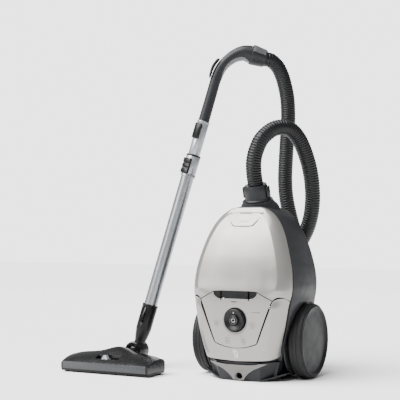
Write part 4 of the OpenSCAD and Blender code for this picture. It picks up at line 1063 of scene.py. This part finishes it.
def make_handle():
    """Grip: a tube that widens into the bow, with a lighter band inside the bow that is a painted highlight
    on its underside.
    """
    low = [(0, 622.4, 14), (0, 624, 14.6), (0, 640, 14.4), (0, 690, 14.1)]
    line = catmull(low + HANDLE_BOW, 8)
    path = [wand_point(x, 0, z) for x, z, r in line]
    grip = add_mesh("grip_shell", tube_mesh(path, [r for x, z, r in line], 48), "charcoal", "handle",
                    "charcoal_shell", 40)
    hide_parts("handle_shell")
    # painted highlight: a lighter grey band over the inside of the bow, standing for the light on its
    # underside
    line = catmull(HANDLE_BOW, 8)
    columns = 15
    outer, inner = [], []
    for i, (x, z, r) in enumerate(line):
        a, b = line[max(i - 1, 0)], line[min(i + 1, len(line) - 1)]
        t = Vector((b[0] - a[0], b[1] - a[1])).normalized()
        span = radians(BAND_HALF_ANGLE * sin(pi * (0.12 + 0.76 * i / (len(line) - 1))))
        for rows, lift in ((outer, 0.5), (inner, -0.6)):
            row = []
            for k in range(columns):
                turn = span * (2 * k / (columns - 1) - 1)
                away = (r + lift) * cos(turn)
                row.append(wand_point(x + t.y * away, (r + lift) * sin(turn), z - t.x * away))
            rows.append(row)
    grip_highlight = add_mesh("grip_highlight_band", shell_mesh(outer, inner), "grip_highlight", "handle", "mid_grey", 40)
    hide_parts("handle_inlay")


FLAP_PIN_X, FLAP_PIN_Z = -16.6, 740
FLAP_OUT = [(-17.2, 738.6), (-19.6, 742), (-21.0, 748), (-21.8, 758), (-21.8, 768), (-20.8, 775.5),
            (-18.4, 782), (-15.2, 788.5), (-10.5, 792.8), (-6.2, 794.6)]
FLAP_IN = [(-15.0, 739.6), (-14.9, 743), (-14.8, 749), (-14.3, 757), (-12.9, 766), (-11.2, 773),
           (-9.2, 779), (-7.0, 784.4), (-5.2, 788.6), (-4.6, 790.4)]


def make_flap():
    """Rounded air flap on the outside of the grip, with a shallow thumb hollow."""
    columns = 17
    outs, ins = catmull(FLAP_OUT, 4), catmull(FLAP_IN, 4)
    n = len(outs)
    points = []
    for i, (o, q) in enumerate(zip(outs, ins)):
        u = i / (n - 1)
        half = 10.6 * (1 - abs(2 * u - 1) ** 5) ** 0.4 * 0.9 + 1.0
        hollow = 0.25 * exp(-((u - 0.5) / 0.28) ** 4)
        for k in range(columns):
            a = pi * k / (columns - 1)
            side = copysign(abs(cos(a)) ** 0.55, cos(a))
            deep = abs(sin(a)) ** 0.6 * (1 - hollow * abs(sin(a)) ** 6)
            points.append(wand_point(q[0] + (o[0] - q[0]) * deep, side * half, q[1] + (o[1] - q[1]) * deep))
    faces = loop_quads(n, columns)
    faces += [tuple(range(columns)), tuple(reversed(range((n - 1) * columns, n * columns)))]
    pad = add_mesh("air_flap_pad", (points, faces), "black", "flap", "black_plastic", 50)
    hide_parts("air_flap")
    add_mesh("air_flap_pin", drum(1.6, -11.4, 11.4, lambda x, y,
             h: wand_point(FLAP_PIN_X + x, h, FLAP_PIN_Z + y), 24), "black", "flap", "black_plastic", 40)


def make_bell():
    """Flared foot of the inlet, down onto the casing."""
    profile = [(37.7, 21.2), (38.4, 17), (40, 12), (43.5, 8), (47.5, 4.6), (50.5, -1), (52.5, -8),
               (53, -16), (46.2, -16), (46.2, 3.8), (37.7, 18)]
    add_mesh("inlet_flare", lathe_mesh(profile, 96, inlet_point), "charcoal", "root", "black_plastic", 50)


def make_wand_trim():
    for name, profile, mat, body, slot in (
            ("upper_sleeve_lip", [(15.7, 617), (16.6, 617.6), (17.0, 620), (16.6, 622), (15.7, 622.2)],
             "sleeve", "handle", "sleeve_silver"),
            ("latch_sleeve_ring", [(18.65, 525.6), (19.3, 526.2), (19.5, 528), (19.2, 529.8), (18.65, 530)],
             "black", "tube", "sleeve_silver"),
            ("latch_sleeve_band", [(18.65, 471.4), (19.3, 472), (19.4, 476.6), (18.65, 478)],
             "band", "tube", "sleeve_silver"),
            ("neck_lip", [(20.1, 118.6), (20.8, 119.2), (21.0, 121.6), (20.4, 123), (20.1, 123)],
             "black", "neck", "black_plastic")):
        add_mesh(name, lathe_mesh(profile, 72, wand_point), mat, body, slot, 40)
    # painted highlight: a lighter grey patch over the top of the hose's swivel collar
    rows = [(26.1, 2), (26.9, 4.5), (26.4, 12), (25.2, 20), (24.2, 30), (23.6, 36)]
    points = []
    n = 25
    for lift in (0.5, -0.4):
        for r, h in rows:
            for k in range(n):
                a = radians(-78 + 156 * k / (n - 1))
                points.append(wand_point(71 + h, (r + lift) * sin(a), BOW_Z + (r + lift) * cos(a)))
    lines = [points[i:i + n] for i in range(0, len(points), n)]
    add_mesh("collar_top_highlight", shell_mesh(lines[:len(rows)], lines[len(rows):]), "grey", "hose_collar",
             "charcoal_shell", 40)


# ---------- floor nozzle ----------

HEAD_X = -340
HEAD_FRONT = -188
HEAD_BACK = -106
HEAD_HALF = 128
EAR_SPAN = (27, 32)
YOKE_FACE_Y = -49.9
HEAD_SIDE = [(-188, 28), (-181, 32.5), (-166, 40), (-150, 45), (-136, 47.6), (-122, 47.6), (-112, 44.5),
             (-106, 39)]
HEAD_FALL = [(0, 1), (60, 1), (88, 0.97), (108, 0.90), (120, 0.82), (128, 0.74)]


def head_top(x, y):
    """Height of the nozzle's skin: low at the ends, with a hump in front of the elbow."""
    z = 8 + (smooth_at(HEAD_SIDE, y) - 8) * smooth_at(HEAD_FALL, abs(x))
    rise = min(max((y + 176) / 60, 0), 1)
    return z + 16 * exp(-((x - 6) / 44) ** 2) * rise * rise * (3 - 2 * rise)


def yoke_point(x, y, h):
    return (DRUM_AT.x + x, YOKE_FACE_Y - h, DRUM_AT.z + y)


def make_head():
    xs = [HEAD_HALF * sin(pi / 2 * k / 40) for k in range(-40, 41)]
    ys = [HEAD_FRONT + (HEAD_BACK - HEAD_FRONT) * k / 26 for k in range(27)]
    sections = [[(HEAD_X + x, HEAD_FRONT, 8)] + [(HEAD_X + x, y, head_top(x, y)) for y in ys]
                + [(HEAD_X + x, HEAD_BACK, 8)] for x in xs]
    m = len(sections[0])
    points = [p for section in sections for p in section]
    faces = loop_quads(len(xs), m)
    faces += [tuple(range(m)), tuple(reversed(range((len(xs) - 1) * m, len(xs) * m)))]
    skin = add_mesh("nozzle_skin", (points, faces), "head", "head", "charcoal_shell", 40)
    carve(skin, block((HEAD_X - 125, -185.5, 0), (HEAD_X + 125, -108.5, 22)),
          block((HEAD_X - 34, -174, 32.4), (HEAD_X + 34, -158, 80)))
    soften(skin, 1.2, 3)
    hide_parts("head_cover")
    for side, name in SIDES:
        ear = [(-107, 12), (-96, 14), (-91, 19), (-90.5, 25), (-93, 31), (-107, 37)]
        plate = slab(ear, *(HEAD_X + side * x for x in EAR_SPAN))
        piece = add_mesh(f"nozzle_ear_{name}", plate, "head", "head", "charcoal_shell", 30)
        soften(piece, 0.8)
        # raised edge of the end cap
        line = [(HEAD_X + side * 126.6, y, head_top(126.6, y) + 0.5) for y in ys[1:-1]]
        add_mesh(f"nozzle_end_bead_{name}", tube_mesh(line, [0.9] * len(line), 10), "head", "head",
                 "charcoal_shell", 60)
    add_mesh("selector_plate", block((HEAD_X - 33.6, -173.6, 32.2), (HEAD_X + 33.6, -158.4, 33.0)),
             "grey", "head", "charcoal_shell", 30)
    for k, x in enumerate((-24, -16, 4, 12, 20)):
        low = (HEAD_X + x, -176.6, head_top(x, -176.6) - 0.4)
        add_mesh(f"selector_mark_{k}", block(low, (HEAD_X + x + 3, -175.2, head_top(x, -175.8) + 0.15)),
                 "mark", "head", "charcoal_shell", 30)
    for name, profile in (("yoke_hub", [(0, 0), (11, 0), (11, 1.8), (9.5, 2.9), (5, 3.5), (0, 3.7)]),
                          ("yoke_ring", [(13.2, 0), (17.8, 0), (17.8, 0.9), (16.8, 1.8), (14.4, 1.8),
                                         (13.2, 1.0)]),
                          ("yoke_cowl", [(18.2, -4.2), (23.6, -4.2), (24.0, -1), (23.4, 1.4), (21.6, 2.8),
                                         (19.4, 2.8), (18.2, 1.6)])):
        add_mesh(name, lathe_mesh(profile, 64, yoke_point), "gloss", "yoke", "charcoal_shell", 40)


# ---------- dust bag ----------

def make_bag():
    """Fleece bag, puffed out from a flat-sided block by a short cloth simulation."""
    low, high = (Vector(v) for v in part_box("dust_bag"))
    middle, half = (low + high) / 2, (high - low) / 2
    n = 14
    mesh = bpy.data.meshes.new("fleece_bag")
    bm = bmesh.new()
    bmesh.ops.create_cube(bm, size=2)
    bmesh.ops.subdivide_edges(bm, edges=bm.edges[:], cuts=n, use_grid_fill=True)
    for v in bm.verts:
        x, y, z = v.co
        pinch = 1 - 0.10 * (abs(x) ** 4 + abs(z) ** 4) / 2
        v.co = middle + Vector((x * half.x * 0.93, y * half.y * 0.86 * pinch, z * half.z * 0.95))
    bm.to_mesh(mesh)
    bm.free()
    bag = link("fleece_bag", mesh)
    cloth = bag.modifiers.new("cloth", "CLOTH")
    settings = cloth.settings
    settings.use_pressure = True
    settings.uniform_pressure_force = 1.2
    settings.effector_weights.gravity = 0
    settings.tension_stiffness = settings.compression_stiffness = 40
    settings.bending_stiffness = 2
    cloth.point_cache.frame_end = 12
    for f in range(1, 11):
        bpy.context.scene.frame_set(f)
    puffed = settle(bag)
    for v in puffed.vertices:
        v.co = Vector([min(max(c, a + 0.0005), b - 0.0005) for c, a, b in zip(v.co, low, high)])
    bpy.context.scene.frame_set(1)
    puffed.shade_smooth()
    puffed.materials.clear()
    puffed.materials.append(MAT["fleece"])
    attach(bag, "root")
    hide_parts("dust_bag")


# ---------- build ----------

make_camera()
make_hoses()
make_studio()
dress_all()
make_front()
make_wheels()
make_underside()
make_bell()
make_handle()
make_flap()
make_wand_trim()
make_head()
make_bag()
